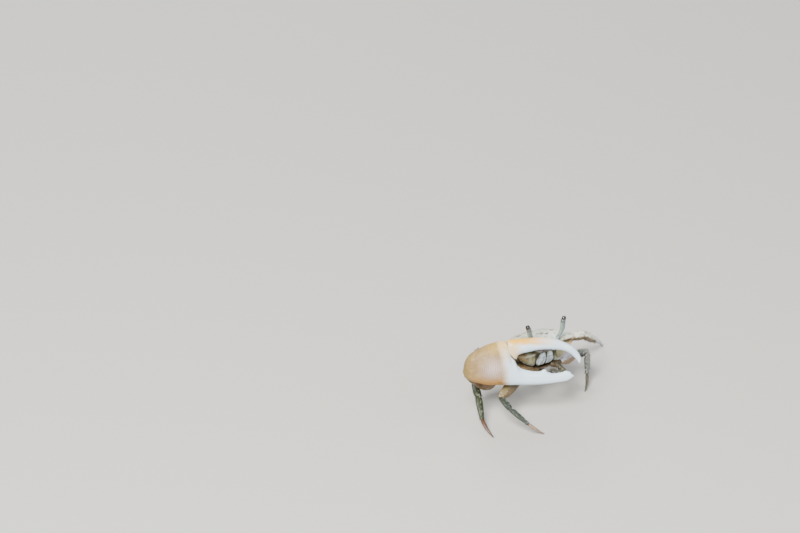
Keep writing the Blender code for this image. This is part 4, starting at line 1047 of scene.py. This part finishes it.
def make_leg(side_name, leg, finishes, draw):
    """The four segments of a leg and the bristles along their edges."""
    side = SIDES[side_name]
    scale = LEG_SCALES[leg]
    points = leg_joints(side_name, leg)
    ways, planes = joint_planes(points, hip_axis(side, points[1] - points[0]), np.array((0.0, 0.0, -1.0)))
    level = unit(np.cross(ways[0], (0.0, 0.0, 1.0))) * side
    roll = math.radians(LEG_ROLLS[side_name, leg])
    thick = level * math.cos(roll) + np.cross(level, ways[0]) * side * math.sin(roll)
    tufts = []
    for k, (segment, rows) in enumerate(LEG_SECTIONS.items()):
        if k:
            thick = unit(carried(thick, ways[k - 1], ways[k]))
        tip = segment == "dactyl"
        axes = (np.cross(thick, ways[k]) * side, thick)
        joints = (points[k:k + 2], axes, planes[k:k + 2])
        count, sides = LEG_GRIDS[segment]
        bow = DACTYL_BOW * scale if tip else 0.0
        rows = smooth_rows(rows, count)
        grid, places = segment_grid(rows, sides, *joints, scale, bow, LEG_POWERS[segment])
        grid = raised(grid, leg_relief(segment, places, scale, 3.0 * leg + k + side))
        if tip:
            grid[..., 2] = np.maximum(grid[..., 2], 0.0)
        habit = (*LEG_BRISTLES[segment], *LEG_LIE)
        tufts.append(tuft(grid, places, edge_chance(places), ways[k], k, habit, draw))
        near, far = END_DEPTHS[segment]
        grid, places = rounded_ends(grid, places, near * scale, far * scale, ways[k])
        name = f"leg_{leg}_{side_name}_{segment}"
        finish = finishes[LEG_SKINS[segment]]
        tube(f"{name}_surface", grid, places, finish, "leg_tip" if tip else "leg", name)
    mesh = bristle_mesh(f"leg_{leg}_{side_name}_bristles", tufts, LEG_BRISTLE_WIDTH, scale)
    piece(mesh, finishes["bristle"], "leg")


# Great claw

def claw_grid(rows, sides, power):
    """Superellipses in the claw's frame between the top and the bottom edge, bowed back by a parabola."""
    top, bottom = rows[:, None, :2], rows[:, None, 2:4]
    thickness = np.maximum(rows[:, 4:5], 0.4)
    bow = rows[:, 5:6, None] if rows.shape[1] > 5 else 0.0
    c, s = oval(turns(sides)[None, :], power)
    middle, half = (top + bottom) / 2, (top - bottom) / 2
    back = unit(np.stack((-half[..., 1], half[..., 0]), -1))
    across = middle + c[..., None] * half + (1 - c**2)[..., None] * bow * back
    return np.concatenate((across, (s * thickness / 2)[..., None]), -1)


def tooth_row(u, pitch, seed):
    """Blunt teeth along u: half ovals, one to a pitch, of varied height."""
    cell = np.floor(u / pitch)
    size = 0.55 + 0.45 * scatter(np.stack((cell, 0 * cell, 0 * cell), -1), seed)[..., 0]
    return size * np.sqrt(np.clip(1.0 - ((u / pitch - cell - 0.5) / 0.47) ** 2, 0.0, 1.0))


def angle_round(grid):
    """Angle of each point round its ring, from minus a half turn to a half turn, 0 at the top edge."""
    angle = turns(grid.shape[1])
    return np.broadcast_to(np.where(angle > math.pi, angle - 2.0 * math.pi, angle), grid.shape[:2])


def claw_piece(name, places, relief, depths, finish, slot):
    """A piece of the great claw: its tube raised and rounded off in the claw's frame, then put in place."""
    grid, spots = rounded_ends(raised(places, relief), places, *depths)
    tube(f"{name}_surface", claw_point(grid), spots, finish, slot, name)


def make_hand(finish):
    """The palm with its fixed finger: grains on the palm, a rim round the hinge, a beaded keel, teeth on
    the biting edge as half ovals and two large humps, a groove along the finger, and oblique ridges of
    grains inside."""
    rows = smooth_rows(HAND_SECTIONS, 330, 4)
    places = claw_grid(rows, 220, 2.3)
    u, v, w = np.moveaxis(places, -1, 0)
    angle = angle_round(places)
    edge_u = np.broadcast_to(rows[:, 0:1], u.shape)
    palm = step((13.0 - u - 0.25 * v) / 3.0)
    relief = palm * (0.05 + 0.04 * step((v - 1.0) / 3.0)) * grains(places, 0.46) * step((w + 1.5) / 1.0)
    relief = relief + palm * 0.03 * grains(places, 0.3, 5.0) + 0.02 * soft_noise(places, 1.2)
    keel = bell((np.abs(angle) - math.pi + 0.12) / 0.12)
    relief = relief + keel * (0.05 + 0.06 * np.cos(2.0 * math.pi * u / 0.5)) * step((26.0 - u) / 6.0)
    teeth = window(edge_u, 13.2, 27.6, 0.6, 0.5)
    relief = relief + 0.24 * teeth * tooth_row(edge_u, 0.62, 2.0) * bell(angle / 0.17)
    for middle, half, height in HAND_HUMPS:
        relief = relief + height * swell((edge_u - middle) / half) * bell(angle / 0.42)
    depth = np.linalg.norm(places[..., :2] - rows[:, None, :2], axis=-1)
    hinge = window(edge_u, 9.9, 12.9, 0.3, 0.8) * step(3.0 - depth)
    relief = relief + hinge * (0.14 * bell((depth - 0.45) / 0.3) - 0.1 * bell((depth - 1.1) / 0.16))
    inner = step((-0.5 - w) / 0.5)
    for start, slope in PALM_RIDGES:
        line = bell((v - start - slope * (u - 4.0)) / 0.3) * window(u, 2.5, 10.5, 1.5, 1.5)
        relief = relief + inner * line * (0.22 + 0.2 * grains(places, 0.6, 9.0))
    groove = bell((v + 3.3 - 0.02 * u) / 0.22) * window(u, 13.0, 27.0, 3.0, 3.0)
    relief = relief - 0.06 * step(w / 0.6) * groove
    claw_piece("great_claw_hand", places, relief, (0.2, 0.25), finish, "claw_hand")


def make_finger(finish):
    """The moving finger: teeth as half ovals on its lower edge, two low humps there, a long groove and
    grains near its root."""
    rows = smooth_rows(FINGER_SECTIONS, 280, 4)
    places = claw_grid(rows, 130, 2.2)
    u, v, w = np.moveaxis(places, -1, 0)
    angle = angle_round(places)
    edge_u = np.broadcast_to(rows[:, 2:3], u.shape)
    lower = np.abs(angle) - math.pi
    teeth = window(edge_u, 15.0, 28.6, 0.8, 1.0)
    relief = 0.18 * teeth * tooth_row(edge_u, 0.58, 6.0) * bell(lower / 0.19)
    for middle, half, height in FINGER_HUMPS:
        relief = relief + height * swell((edge_u - middle) / half) * bell(lower / 0.4)
    root = step((15.5 - u) / 3.0)
    relief = relief + root * 0.05 * grains(places, 0.4, 8.0) + 0.015 * soft_noise(places, 1.1, 4.0)
    groove = bell((v - 6.0 + 0.012 * (u - 16.0) ** 2) / 0.3) * window(u, 12.0, 24.0, 2.0, 6.0)
    relief = relief - 0.1 * groove * step(np.abs(w) / 0.5)
    claw_piece("great_claw_finger", places, relief, (0.15, 0.25), finish, "claw_finger")


def arm_grid(sections, sides, end_ways, count):
    """Ovals square to a path in the claw's frame, or at its ends to the given ways, each point then
    carried along on a Catmull-Rom curve."""
    rows = smooth_rows(sections, 10)
    along = np.gradient(rows[:, :3], axis=0)
    for end, way in end_ways.items():
        along[end] = way
    across = unit(np.cross(along, (0.0, 1.0, 0.0)))
    high = unit(np.cross(across, along))
    c, s = oval(turns(sides)[None, :, None], 2.2)
    rings = rows[:, None, :3] + c * high[:, None] * rows[:, 3, None, None] / 2
    rings = rings + s * across[:, None] * rows[:, 4, None, None] / 2
    return smooth_rows(rings.reshape(len(rings), -1), count).reshape(count, sides, 3)


def make_great_arm(finishes):
    """The carpus and the merus of the great claw, with grains that stand out more towards their upper
    edges, and a raised line along both edges."""
    elbow = unit(GREAT_ELBOW_WAY)
    root = into_claw(hip_place(SIDES["right"], 1))
    merus_rows = ((*root, *GREAT_MERUS_ROOT), *GREAT_MERUS_SECTIONS)
    hip_way = np.array([unit(CLAW_HIP_WAYS["right"]) @ way for way in claw_axes()])
    parts = {
        "carpus": arm_grid(GREAT_CARPUS_SECTIONS, 150, {0: elbow}, 130),
        "merus": arm_grid(merus_rows, 120, {0: hip_way, -1: elbow}, 190),
    }
    for part, places in parts.items():
        angle = angle_round(places)
        upper = bell(angle / 0.5)
        relief = (0.04 + 0.06 * upper) * grains(places, 0.42, 2.0) + 0.04 * soft_noise(places, 1.1)
        relief = relief + 0.12 * bell(angle / 0.16) + 0.1 * bell((np.abs(angle) - math.pi) / 0.18)
        claw_piece(f"great_claw_{part}", places, relief, (0.25, 0.25), finishes[part], "claw_arm")


# Small claw

# Share of the length, top and bottom as shares of the height, share of the thickness
SMALL_HAND_ROWS = (
    (0.0, 0.3, -0.3, 0.7), (0.12, 0.45, -0.45, 1.0), (0.38, 0.5, -0.5, 1.0), (0.47, 0.25, -0.5, 0.85),
    (0.55, -0.1, -0.48, 0.6), (0.8, -0.08, -0.36, 0.5), (1.0, -0.04, -0.24, 0.4),
)
SMALL_FINGER_ROWS = (
    (0.54, 0.46, 0.14, 0.7), (0.64, 0.46, 0.18, 0.62), (0.8, 0.4, 0.14, 0.5), (1.0, 0.2, 0.02, 0.4),
)
# Rings and sides of the grids of its arm and of its hand
SMALL_ARM_GRID = (90, 72)
SMALL_HAND_GRID = (100, 64)
# Bristles of each half of the hand: how many, the shortest and longest, and their lie as for the legs
SMALL_BRISTLES = (90, 0.3, 0.75, 1.6, 0.3, 0.5)
SMALL_BRISTLE_WIDTH = 0.022


def make_small_claw(finish, tip_finish, bristle_finish, draw):
    """The four pieces of the feeding claw, and the fringe of bristles round its spoon-shaped fingers."""
    rings, sides = SMALL_ARM_GRID
    points = [hip_place(SIDES["left"], 1), *np.array(SMALL_CLAW_JOINTS)]
    ways, planes = joint_planes(points, unit(CLAW_HIP_WAYS["left"]), unit(points[-1] - points[-2]))
    thick = unit(np.cross(ways[0], (0.0, 0.0, 1.0)))
    for k, (joint, rows) in enumerate(SMALL_CLAW_SECTIONS.items()):
        if k:
            thick = unit(carried(thick, ways[k - 1], ways[k]))
        axes = (np.cross(thick, ways[k]), thick)
        rows = smooth_rows(rows, rings)
        grid, places = segment_grid(rows, sides, points[k:k + 2], axes, planes[k:k + 2])
        relief = 0.03 * soft_noise(places, 0.6, k) + 0.03 * grains(places, 0.3, k)
        grid, places = rounded_ends(raised(grid, relief), places, 0.45, 0.3)
        tube(f"small_claw_{joint}_surface", grid, places, finish, "small_claw", f"small_claw_{joint}")
    thick = unit(carried(thick, ways[1], ways[2]))
    high = np.cross(thick, ways[2])
    start = points[2] + planes[2] * WRIST_GAP
    length = np.linalg.norm(points[3] - start)
    rings, sides = SMALL_HAND_GRID
    c, s = oval(turns(sides)[None, :], 2.2)
    tufts = []
    for strip, (part, rows) in enumerate((("hand", SMALL_HAND_ROWS), ("finger", SMALL_FINGER_ROWS))):
        t, top, bottom, grow = (column[:, None] for column in smooth_rows(rows, rings).T)
        run = np.broadcast_to(length * t, (rings, sides))
        rise = SMALL_HAND_HEIGHT * ((top + bottom) / 2 + c * (top - bottom) / 2)
        out = SMALL_HAND_THICKNESS * grow * s / 2
        grid = start + run[..., None] * ways[2] + rise[..., None] * high + out[..., None] * thick
        if part == "hand":
            slide = ((start - grid) @ planes[2]) / (ways[2] @ planes[2])
            grid = grid + (slide * np.clip(1.0 - t / 0.12, 0.0, 1.0))[..., None] * ways[2]
        places = np.stack((run, rise, out), -1)
        relief = 0.02 * soft_noise(places, 0.5) + 0.05 * bell((np.abs(c) - 1.0) / 0.06)
        grid = raised(grid, relief)
        chance = step((run - 0.55 * length) / 0.4)
        tufts.append(tuft(grid, places, chance, ways[2], strip, SMALL_BRISTLES, draw))
        grid, places = rounded_ends(grid, places, 0.3 if part == "hand" else 0.1, 0.15)
        name = f"small_claw_{part}"
        tube(f"{name}_surface", grid, places, tip_finish, "small_claw", name)
    mesh = bristle_mesh("small_claw_bristles", tufts, SMALL_BRISTLE_WIDTH)
    piece(mesh, bristle_finish, "small_claw")


# Finishes

# Dark spots on the back: x, y and size
DARK_SPOTS = (
    (0.4, 0.3, 0.4), (1.15, -0.5, 0.45), (2.5, -1.0, 0.42), (0.1, 2.8, 0.4), (-3.7, 2.4, 0.5),
    (2.2, -4.5, 0.35), (-1.5, 3.6, 0.35), (4.6, 0.6, 0.4), (-5.4, -1.2, 0.35), (3.4, 3.4, 0.4),
    (-2.2, -2.4, 0.3),
)


def shell_finish():
    """Pearly white to green back with dark spots and a yellow front edge, olive cheeks that turn brown
    outwards and darken towards the foot of the face as painted shade, and dark eye sockets."""
    f = Finish("pearly_shell")
    across = abs(f.x)
    cloud = f.noise(0.35, 3.0)
    f.colour = f.mix(cloud.between(0.35, 0.62), shade(166, 174, 146), shade(220, 226, 212))
    fine = f.noise(1.6, 3.0)
    f.paint(fine.between(0.5, 0.7) * 0.6, shade(228, 232, 226))
    f.paint(f.noise(0.7, 2.0).between(0.56, 0.66) * 0.7, shade(140, 146, 110))
    for x, y, size in DARK_SPOTS:
        across_spot = (f.x + 0.5 * (fine - 0.5)).near(x, 1.5 * size)
        spot = across_spot * (f.y + 0.5 * (cloud - 0.5)).near(y, 1.2 * size)
        f.paint(spot.between(0.3, 0.6) * f.z.between(0.1, 0.4), shade(46, 48, 42))
    f.paint(f.cells(1.5).between(0.14, 0.08) * f.noise(0.5).between(0.42, 0.52), shade(70, 70, 58))
    f.paint(f.y.between(0.5, 4.5) * 0.55, shade(140, 134, 104))
    f.paint(f.y.near(-4.9, 0.5) * f.noise(1.1).between(0.5, 0.62) * 0.8, shade(206, 196, 120))
    corner = across.between(6.8, 8.2) * f.z.between(-0.3, 0.3)
    f.paint(corner * 0.5, shade(158, 134, 100))

    olive = f.mix(f.noise(0.8, 4.0).between(0.38, 0.6), shade(112, 98, 62), shade(164, 160, 118))
    olive = f.mix(f.noise(2.4, 2.0).between(0.58, 0.72) * 0.7, olive, shade(200, 200, 180))
    brown = f.mix(f.noise(1.2, 3.0).between(0.4, 0.6), shade(146, 118, 78), shade(184, 158, 116))
    olive = f.mix((across + cloud).between(5.5, 6.6), olive, brown)
    olive = f.mix(f.z.near(-2.15, 0.22) * across.between(6.6, 5.4) * 0.8, olive, shade(212, 212, 198))
    # painted shade: the lower face darkens towards the gape below it
    olive = f.mix(f.z.between(-4.0, -5.2) * 0.75, olive, shade(62, 46, 30))
    face = f.y.between(-3.0, -4.0) * f.z.between(0.0, -0.35)
    f.paint(face, olive)
    socket = f.y.between(-3.2, -3.8) * f.z.near(SOCKET_MIDDLE, 0.5) * across.between(1.5, 2.1)
    f.paint(socket * 0.92, shade(52, 44, 36))
    mouth = across.between(MOUTH_HALF_WIDTH + 0.2, MOUTH_HALF_WIDTH - 0.1) * f.z.between(-1.6, -1.95)
    f.paint(mouth, shade(134, 124, 96))
    height = f.noise(2.2, 4.0) + 0.6 * f.cells(4.0)
    roughness = 0.3 + 0.2 * fine + 0.2 * face
    return f.done(roughness, height, depth=0.12, coat=0.25, coat_roughness=0.2)


# Light tone, dark tone and fleck of each plain finish; the tones of the underside, of the great claw's
# merus and of the small claw are darkened as painted shade, for the shade they lie in
MOTTLED_TONES = {
    "brown_underside_and_painted_shade": ((92, 76, 50), (54, 42, 26), (122, 110, 82)),
    "grey_feeler": ((150, 138, 134), (92, 84, 82), (204, 196, 190)),
    "dark_bristle": ((116, 92, 62), (64, 48, 32), (150, 126, 92)),
    "tan_elbow": ((120, 94, 62), (84, 62, 38), (150, 128, 94)),
    "olive_brown_arm_and_painted_shade": ((112, 90, 58), (74, 56, 34), (146, 128, 92)),
    "drab_small_claw_and_painted_shade": ((78, 74, 52), (48, 44, 30), (118, 116, 92)),
    "pale_small_fingers_and_painted_shade": ((96, 98, 86), (62, 64, 54), (142, 144, 130)),
}


def mottled_finish(name, grain=1.0):
    """Plain chitin: two tones in soft clouds, flecks, and a fine leathery bump."""
    f = Finish(name)
    light, dark, fleck = (shade(*tone) for tone in MOTTLED_TONES[name])
    f.colour = f.mix(f.noise(0.6 * grain, 3.0).between(0.35, 0.65), dark, light)
    f.paint(f.cells(1.9 * grain).between(0.24, 0.12) * 0.8, fleck)
    f.paint(f.noise(3.2 * grain, 2.0).between(0.55, 0.75) * 0.4, fleck)
    roughness = 0.36 + 0.25 * f.noise(2.0, 2.0)
    height = f.noise(3.0 * grain, 4.0) + 0.5 * f.cells(5.0 * grain)
    return f.done(roughness, height, depth=0.09, coat=0.15, coat_roughness=0.25)


def tail_finish():
    """Cream tail: darker in the joint lines, a greyish middle."""
    f = Finish("cream_tail")
    f.colour = f.mix(f.noise(0.8, 3.0).between(0.35, 0.65), shade(176, 164, 128), shade(214, 206, 176))
    joints = f.y.math("FRACT", f.y).near(0.0, 0.07)
    f.paint(joints, shade(104, 84, 56))
    f.paint(f.x.near(0.0, 0.5) * 0.35, shade(160, 166, 160))
    height = f.noise(3.0, 4.0)
    return f.done(0.38 + 0.2 * f.noise(2.0), height, depth=0.08, coat=0.2)


def plate_finish():
    """Blue-white mouth plates with grey streaks and flecks, dark in their grooves, tan at their outer and
    lower edges and greenish in their inner upper corners."""
    f = Finish("blue_white_plates")
    streaks = f.noise(1.0, 4.0, f.stretched(2.2, 0.6, 1.0))
    f.colour = f.mix(streaks.between(0.35, 0.65), shade(166, 180, 186), shade(226, 236, 240))
    f.paint(f.x.near(0.75, 0.1) * f.y.between(1.3, 1.5) * 0.7, shade(84, 88, 78))
    f.paint(f.y.near(1.33, 0.09) * 0.7, shade(90, 88, 74))
    f.paint(f.x.between(2.1, 2.5) * 0.5, shade(150, 140, 98))
    f.paint(f.y.between(0.8, 0.2) * f.x.between(0.9, 0.4) * 0.6, shade(196, 206, 168))
    f.paint(f.y.between(3.3, 3.8) * 0.6, shade(136, 112, 74))
    f.paint(f.cells(2.6).between(0.18, 0.1) * 0.4, shade(120, 128, 132))
    height = f.noise(3.5, 3.0) + 0.5 * streaks
    return f.done(0.22 + 0.2 * f.noise(2.0), height, depth=0.07, coat=0.4, coat_roughness=0.12)


def stalk_finish(side_name):
    """Blue-grey stalk with a greenish streak down one side, dark under the eye and pale at its root."""
    f = Finish(f"blue_grey_stalk_{side_name}")
    f.colour = f.mix(f.noise(1.4, 3.0).between(0.38, 0.62), shade(84, 98, 106), shade(122, 140, 142))
    streak = f.x.between(0.35, 0.85) * f.y.between(0.75, 0.3)
    f.paint(streak * f.noise(1.2).between(0.3, 0.5) * 0.7, shade(150, 162, 138))
    f.paint(f.z.between(4.7, 5.1) * 0.75, shade(70, 74, 76))
    f.paint(f.z.between(0.6, -0.2) * 0.6, shade(196, 196, 176))
    height = f.noise(2.5, 3.0)
    return f.done(0.28 + 0.15 * f.noise(2.0), height, depth=0.05, coat=0.4, coat_roughness=0.12)


def cornea_finish():
    """Near-black facetted eye, grey at its rim."""
    f = Finish("dark_cornea")
    f.colour = f.mix(f.z.between(0.38, 0.24), shade(24, 21, 24), shade(112, 122, 128))
    f.paint(f.noise(2.0, 2.0).between(0.45, 0.7) * 0.3, shade(52, 46, 50))
    facets = f.cells(9.0, f.stretched(0.62, 0.62, 1.0))
    return f.done(0.1 + 0.08 * f.noise(3.0), facets, depth=0.012, coat=0.9, coat_roughness=0.04)


def leg_finish(name, upper, lower, fleck, tip=False):
    """Leg chitin: the upper half goes over to the lower, partly two tones of the leg's own and partly
    painted light, a painted highlight along the top and painted shade underneath; with dark clouds, and
    pale flecks in a line down the middle and scattered over the rest."""
    f = Finish(name)
    cloud = f.noise(0.9, 4.0)
    edge = f.y + 0.8 * (cloud - 0.5)
    # painted light: the upper tone stands partly for a painted highlight on the top of the segment, the
    # lower partly for painted shade underneath
    f.colour = f.mix(edge.between(-0.25, 0.3), lower, upper)
    dark = f.noise(0.75, 3.0, f.stretched(0.8, 1.4, 1.4)).between(0.54, 0.66)
    deep = (*(0.45 * channel for channel in lower[:3]), 1.0)
    f.paint(dark * 0.45, deep)
    line = f.y.near(0.05, 0.28) * f.cells(1.7, f.stretched(0.7, 1.0, 1.0)).between(0.42, 0.2)
    f.paint(line * (0.25 if tip else 0.85), fleck)
    f.paint(f.noise(3.0, 2.0).between(0.58, 0.74) * 0.5, fleck)
    height = f.noise(2.6, 4.0, f.stretched(1.8, 1.0, 1.0)) + 0.5 * f.cells(4.5)
    roughness = 0.32 + 0.25 * f.noise(1.7, 2.0)
    return f.done(roughness, height, depth=0.1, coat=0.2, coat_roughness=0.2)


def hand_finish():
    """Palm in tan with a pinkish middle in fine rows of grains that is partly a painted highlight, an
    orange lower edge and a yellow upper edge; a cream collar before the fingers, yellow at its top, and a
    bluish white fixed finger."""
    f = Finish("tan_to_white_palm")
    u, v = f.x, f.y
    cloud = f.noise(0.5, 4.0)
    f.colour = f.mix(cloud.between(0.35, 0.65), shade(136, 108, 60), shade(158, 132, 80))
    f.paint(u.between(2.4, 0.2) * 0.6, shade(116, 98, 54))
    rows = (u + 0.05 * v * v).wave(0.46)
    # painted highlight: the pinkish patch in the middle of the palm is partly its own tint and partly a
    # painted highlight
    pink_and_highlight = u.near(7.2, 2.9) * v.near(0.0, 2.9)
    f.paint(pink_and_highlight * (0.72 + 0.28 * rows), shade(204, 184, 184))
    f.paint(v.between(-1.4, -4.0) * u.between(0.2, 3.4) * 0.8, shade(170, 120, 50))
    f.paint(v.between(2.6, 5.4) * u.between(2.6, 7.6) * 0.8, shade(180, 146, 66))
    spot = u.near(9.1, 0.4) * v.near(-3.75, 0.2)
    f.paint(spot * 0.85, shade(120, 84, 28))
    rim = (u + 0.2 * v + 0.6 * (cloud - 0.5)).between(8.8, 10.6)
    f.paint(rim * 0.8, shade(226, 212, 200))
    white = (u + 0.2 * v + 0.9 * (cloud - 0.5)).between(9.8, 11.6)
    f.paint(white, shade(216, 237, 255))
    f.paint(v.between(0.6, 4.2) * rim * 0.6, shade(240, 208, 140))
    f.paint(v.between(4.0, 6.0) * rim * 0.7, shade(230, 186, 92))
    f.paint(v.between(-4.1, -4.6) * u.between(10.5, 13.5) * 0.22, shade(196, 214, 170))
    inner = f.z.between(-0.3, -1.2) * u.between(13.0, 9.0)
    f.paint(inner * 0.5, shade(206, 178, 146))
    f.paint(f.noise(3.4, 2.0).between(0.6, 0.75) * u.between(12.0, 8.0) * 0.3, shade(166, 120, 84))
    height = u.between(13.5, 10.0) * f.cells(2.3).between(0.45, 0.1) + 0.35 * f.noise(2.2, 4.0)
    height = height + 0.15 * rows * u.between(12.0, 10.0)
    roughness = 0.38 + 0.14 * cloud + 0.12 * u.between(12.0, 9.0)
    return f.done(roughness, height, depth=0.06, coat=0.08, coat_roughness=0.4)


def finger_finish():
    """Moving finger in bluish white, with a cream root and a yellow-orange upper edge that fades towards
    the tip."""
    f = Finish("white_finger")
    u, v = f.x, f.y
    cloud = f.noise(0.5, 4.0)
    f.colour = f.mix(cloud.between(0.35, 0.65), shade(208, 230, 250), shade(222, 240, 255))
    f.paint((u + 0.2 * v + cloud).between(17.0, 13.6) * 0.8, shade(236, 198, 120))
    top = (v + 0.05 * u + 1.2 * (cloud - 0.5)).between(6.3, 7.4) * u.between(26.0, 14.0)
    f.paint(top, shade(248, 184, 50))
    f.paint(f.noise(3.0, 2.0).between(0.6, 0.76) * u.between(16.0, 12.0) * 0.3, shade(206, 150, 84))
    height = 0.5 * f.noise(2.4, 4.0) + u.between(16.0, 12.5) * f.cells(2.6).between(0.4, 0.1)
    roughness = 0.36 + 0.16 * cloud
    return f.done(roughness, height, depth=0.05, coat=0.12, coat_roughness=0.35)


# Upper tone, lower tone and fleck of each leg's merus, of the segments beyond it and of its tip; the upper
# tone is partly a painted highlight and the lower partly painted shade
OLIVE = ((46, 54, 34), (30, 34, 20), (146, 156, 122))
LEG_TONES = {
    ("right", 2): (
        ((120, 104, 70), (90, 72, 44), (168, 154, 120)),
        ((44, 52, 42), (28, 34, 26), (172, 184, 178)),
        ((150, 124, 104), (110, 84, 66), (188, 170, 154)),
    ),
    ("right", 3): (
        ((56, 52, 34), (40, 36, 22), (108, 108, 84)),
        OLIVE,
        ((84, 54, 34), (54, 34, 20), (114, 84, 56)),
    ),
    # painted highlight: the pale lilac upper tone of this merus; its brown lower tone is partly painted
    # shade
    ("left", 2): (
        ((206, 202, 212), (132, 102, 64), (220, 216, 220)),
        ((104, 108, 104), (54, 50, 32), (204, 212, 216)),
        ((78, 74, 58), (50, 44, 32), (170, 172, 166)),
    ),
    # painted light: the cream-white upper tones are largely a painted highlight and the dark brown lower
    # tones largely painted shade
    ("left", 3): (
        ((240, 240, 218), (76, 54, 26), (246, 246, 236)),
        ((222, 222, 200), (88, 70, 40), (240, 244, 240)),
        ((206, 216, 220), (170, 178, 182), (232, 236, 238)),
    ),
}
# The same for the legs that have no tones of their own
PLAIN_TONES = (
    ((104, 96, 66), (70, 60, 36), (156, 152, 124)),
    OLIVE,
    ((98, 74, 52), (66, 46, 30), (136, 112, 86)),
)


def leg_finishes(side_name, leg):
    """The skins of a leg's merus, of its shin and of its tip."""
    tones = LEG_TONES.get((side_name, leg), PLAIN_TONES)
    finishes = {}
    for part, tone in zip(("merus", "shin", "tip"), tones):
        colours = (shade(*colour) for colour in tone)
        finishes[part] = leg_finish(f"leg_{leg}_{side_name}_{part}_skin", *colours, part == "tip")
    return finishes


def main():
    """Every piece of the crab. The bristles are drawn leg by leg, the left side first, then the small
    claw's."""
    draw = np.random.default_rng(SEED)
    shell = shell_finish()
    # painted shade: the underside's brown is darkened for the shade under the body
    under = mottled_finish("brown_underside_and_painted_shade")
    make_shell(shell)
    make_thorax(under)
    make_tail(tail_finish())
    plates = plate_finish()
    cornea = cornea_finish()
    feeler = mottled_finish("grey_feeler", 1.6)
    bristle = mottled_finish("dark_bristle")
    for side_name, side in SIDES.items():
        make_mouth_plate(side_name, side, plates)
        make_eye(side_name, side, stalk_finish(side_name), cornea)
        for kind in FEELERS:
            make_feeler(kind, side_name, side, feeler)
        length, radius = LEG_HIP
        for leg, scale in LEG_SCALES.items():
            make_leg(side_name, leg, {"bristle": bristle, **leg_finishes(side_name, leg)}, draw)
            way = hip_axis(side, heading_direction(side, *LEG_POSES[side_name, leg][0]))
            make_hip(f"hip_{leg}_{side_name}", hip_place(side, leg), way, length, radius * scale, under)
        way = unit(CLAW_HIP_WAYS[side_name])
        make_hip(f"hip_1_{side_name}", hip_place(side, 1), way, *CLAW_HIP, under)
    make_hand(hand_finish())
    make_finger(finger_finish())
    # painted shade: the merus's olive brown is darkened for the shade under the claw
    make_great_arm({"carpus": mottled_finish("tan_elbow"), "merus": mottled_finish("olive_brown_arm_and_painted_shade")})
    # painted shade: the small claw's tones are darkened for the shade it is held in
    drab = mottled_finish("drab_small_claw_and_painted_shade")
    pale = mottled_finish("pale_small_fingers_and_painted_shade")
    make_small_claw(drab, pale, bristle, draw)


main()

# Studio, in metres

CAMERA_DISTANCE = 1.111
CAMERA_HEADING = math.radians(-27)
CAMERA_RISE = math.radians(30)
# Width of the lens's picture and its length, in millimetres
SENSOR_WIDTH = 36
LENS = 200
# How far left of the brow and above it the camera aims, in millimetres
AIM_LEFT = 36.5
AIM_ABOVE = 18.875
FLOOR_HALF = 4.0
SURROUND_STRENGTH = 0.5
# Place, size, power in watts and tint of each light
LIGHTS = {
    "key_light": ((-0.35, -0.32, 0.55), 0.28, 13.0, (1.0, 0.98, 0.94)),
    "fill_light": ((0.5, -0.4, 0.3), 0.5, 2.0, (0.92, 0.96, 1.0)),
    "rim_light": ((0.1, 0.6, 0.4), 0.4, 3.0, (1.0, 1.0, 1.0)),
}
LIT_PLACE = Vector((0.0, 0.0, 0.012))


def add_light(name, place, size, power, colour):
    """A square area light turned towards the middle of the crab."""
    lamp = bpy.data.lights.new(name, "AREA")
    lamp.size = size
    lamp.energy = power
    lamp.color = colour
    thing = bpy.data.objects.new(name, lamp)
    thing.location = place
    thing.rotation_euler = (LIT_PLACE - Vector(place)).to_track_quat("-Z", "Y").to_euler()
    bpy.context.scene.collection.objects.link(thing)


def set_stage():
    """A pale floor, soft lights and a pale surround."""
    floor_finish = bpy.data.materials.new("pale_floor")
    floor_finish.use_nodes = True
    shader = floor_finish.node_tree.nodes["Principled BSDF"]
    shader.inputs["Base Color"].default_value = shade(192, 190, 184)
    shader.inputs["Roughness"].default_value = 0.7
    mesh = bpy.data.meshes.new("floor")
    corners = ((-1, -1), (1, -1), (1, 1), (-1, 1))
    mesh.from_pydata([(FLOOR_HALF * x, FLOOR_HALF * y, 0) for x, y in corners], [], [(0, 1, 2, 3)])
    mesh.materials.append(floor_finish)
    floor = bpy.data.objects.new("floor", mesh)
    bpy.context.scene.collection.objects.link(floor)
    world = bpy.data.worlds.new("pale_surround")
    world.use_nodes = True
    background = world.node_tree.nodes["Background"]
    background.inputs["Color"].default_value = shade(226, 230, 236)
    background.inputs["Strength"].default_value = SURROUND_STRENGTH
    bpy.context.scene.world = world
    for name, (place, size, power, colour) in LIGHTS.items():
        add_light(name, place, size, power, colour)


def set_camera():
    """A long lens from the photograph's side and height, aimed so that the crab stands where it does
    there."""
    right = np.array((math.cos(CAMERA_HEADING), math.sin(CAMERA_HEADING), 0.0))
    forward = np.array((math.sin(CAMERA_HEADING), -math.cos(CAMERA_HEADING), 0.0))
    back = forward * math.cos(CAMERA_RISE) + (0.0, 0.0, math.sin(CAMERA_RISE))
    up = np.cross(back, right)
    brow = np.array((0.0, 0.0, BROW_HEIGHT))
    aim = (brow - MIDDLE - AIM_LEFT * right + AIM_ABOVE * up) * MM
    camera = bpy.data.objects.new("camera", bpy.data.cameras.new("camera"))
    camera.data.lens = LENS
    camera.data.sensor_width = SENSOR_WIDTH
    camera.data.clip_end = 20
    camera.location = Vector(aim + back * CAMERA_DISTANCE)
    camera.rotation_euler = Vector(back).to_track_quat("Z", "Y").to_euler()
    bpy.context.scene.collection.objects.link(camera)
    bpy.context.scene.camera = camera


set_stage()
set_camera()
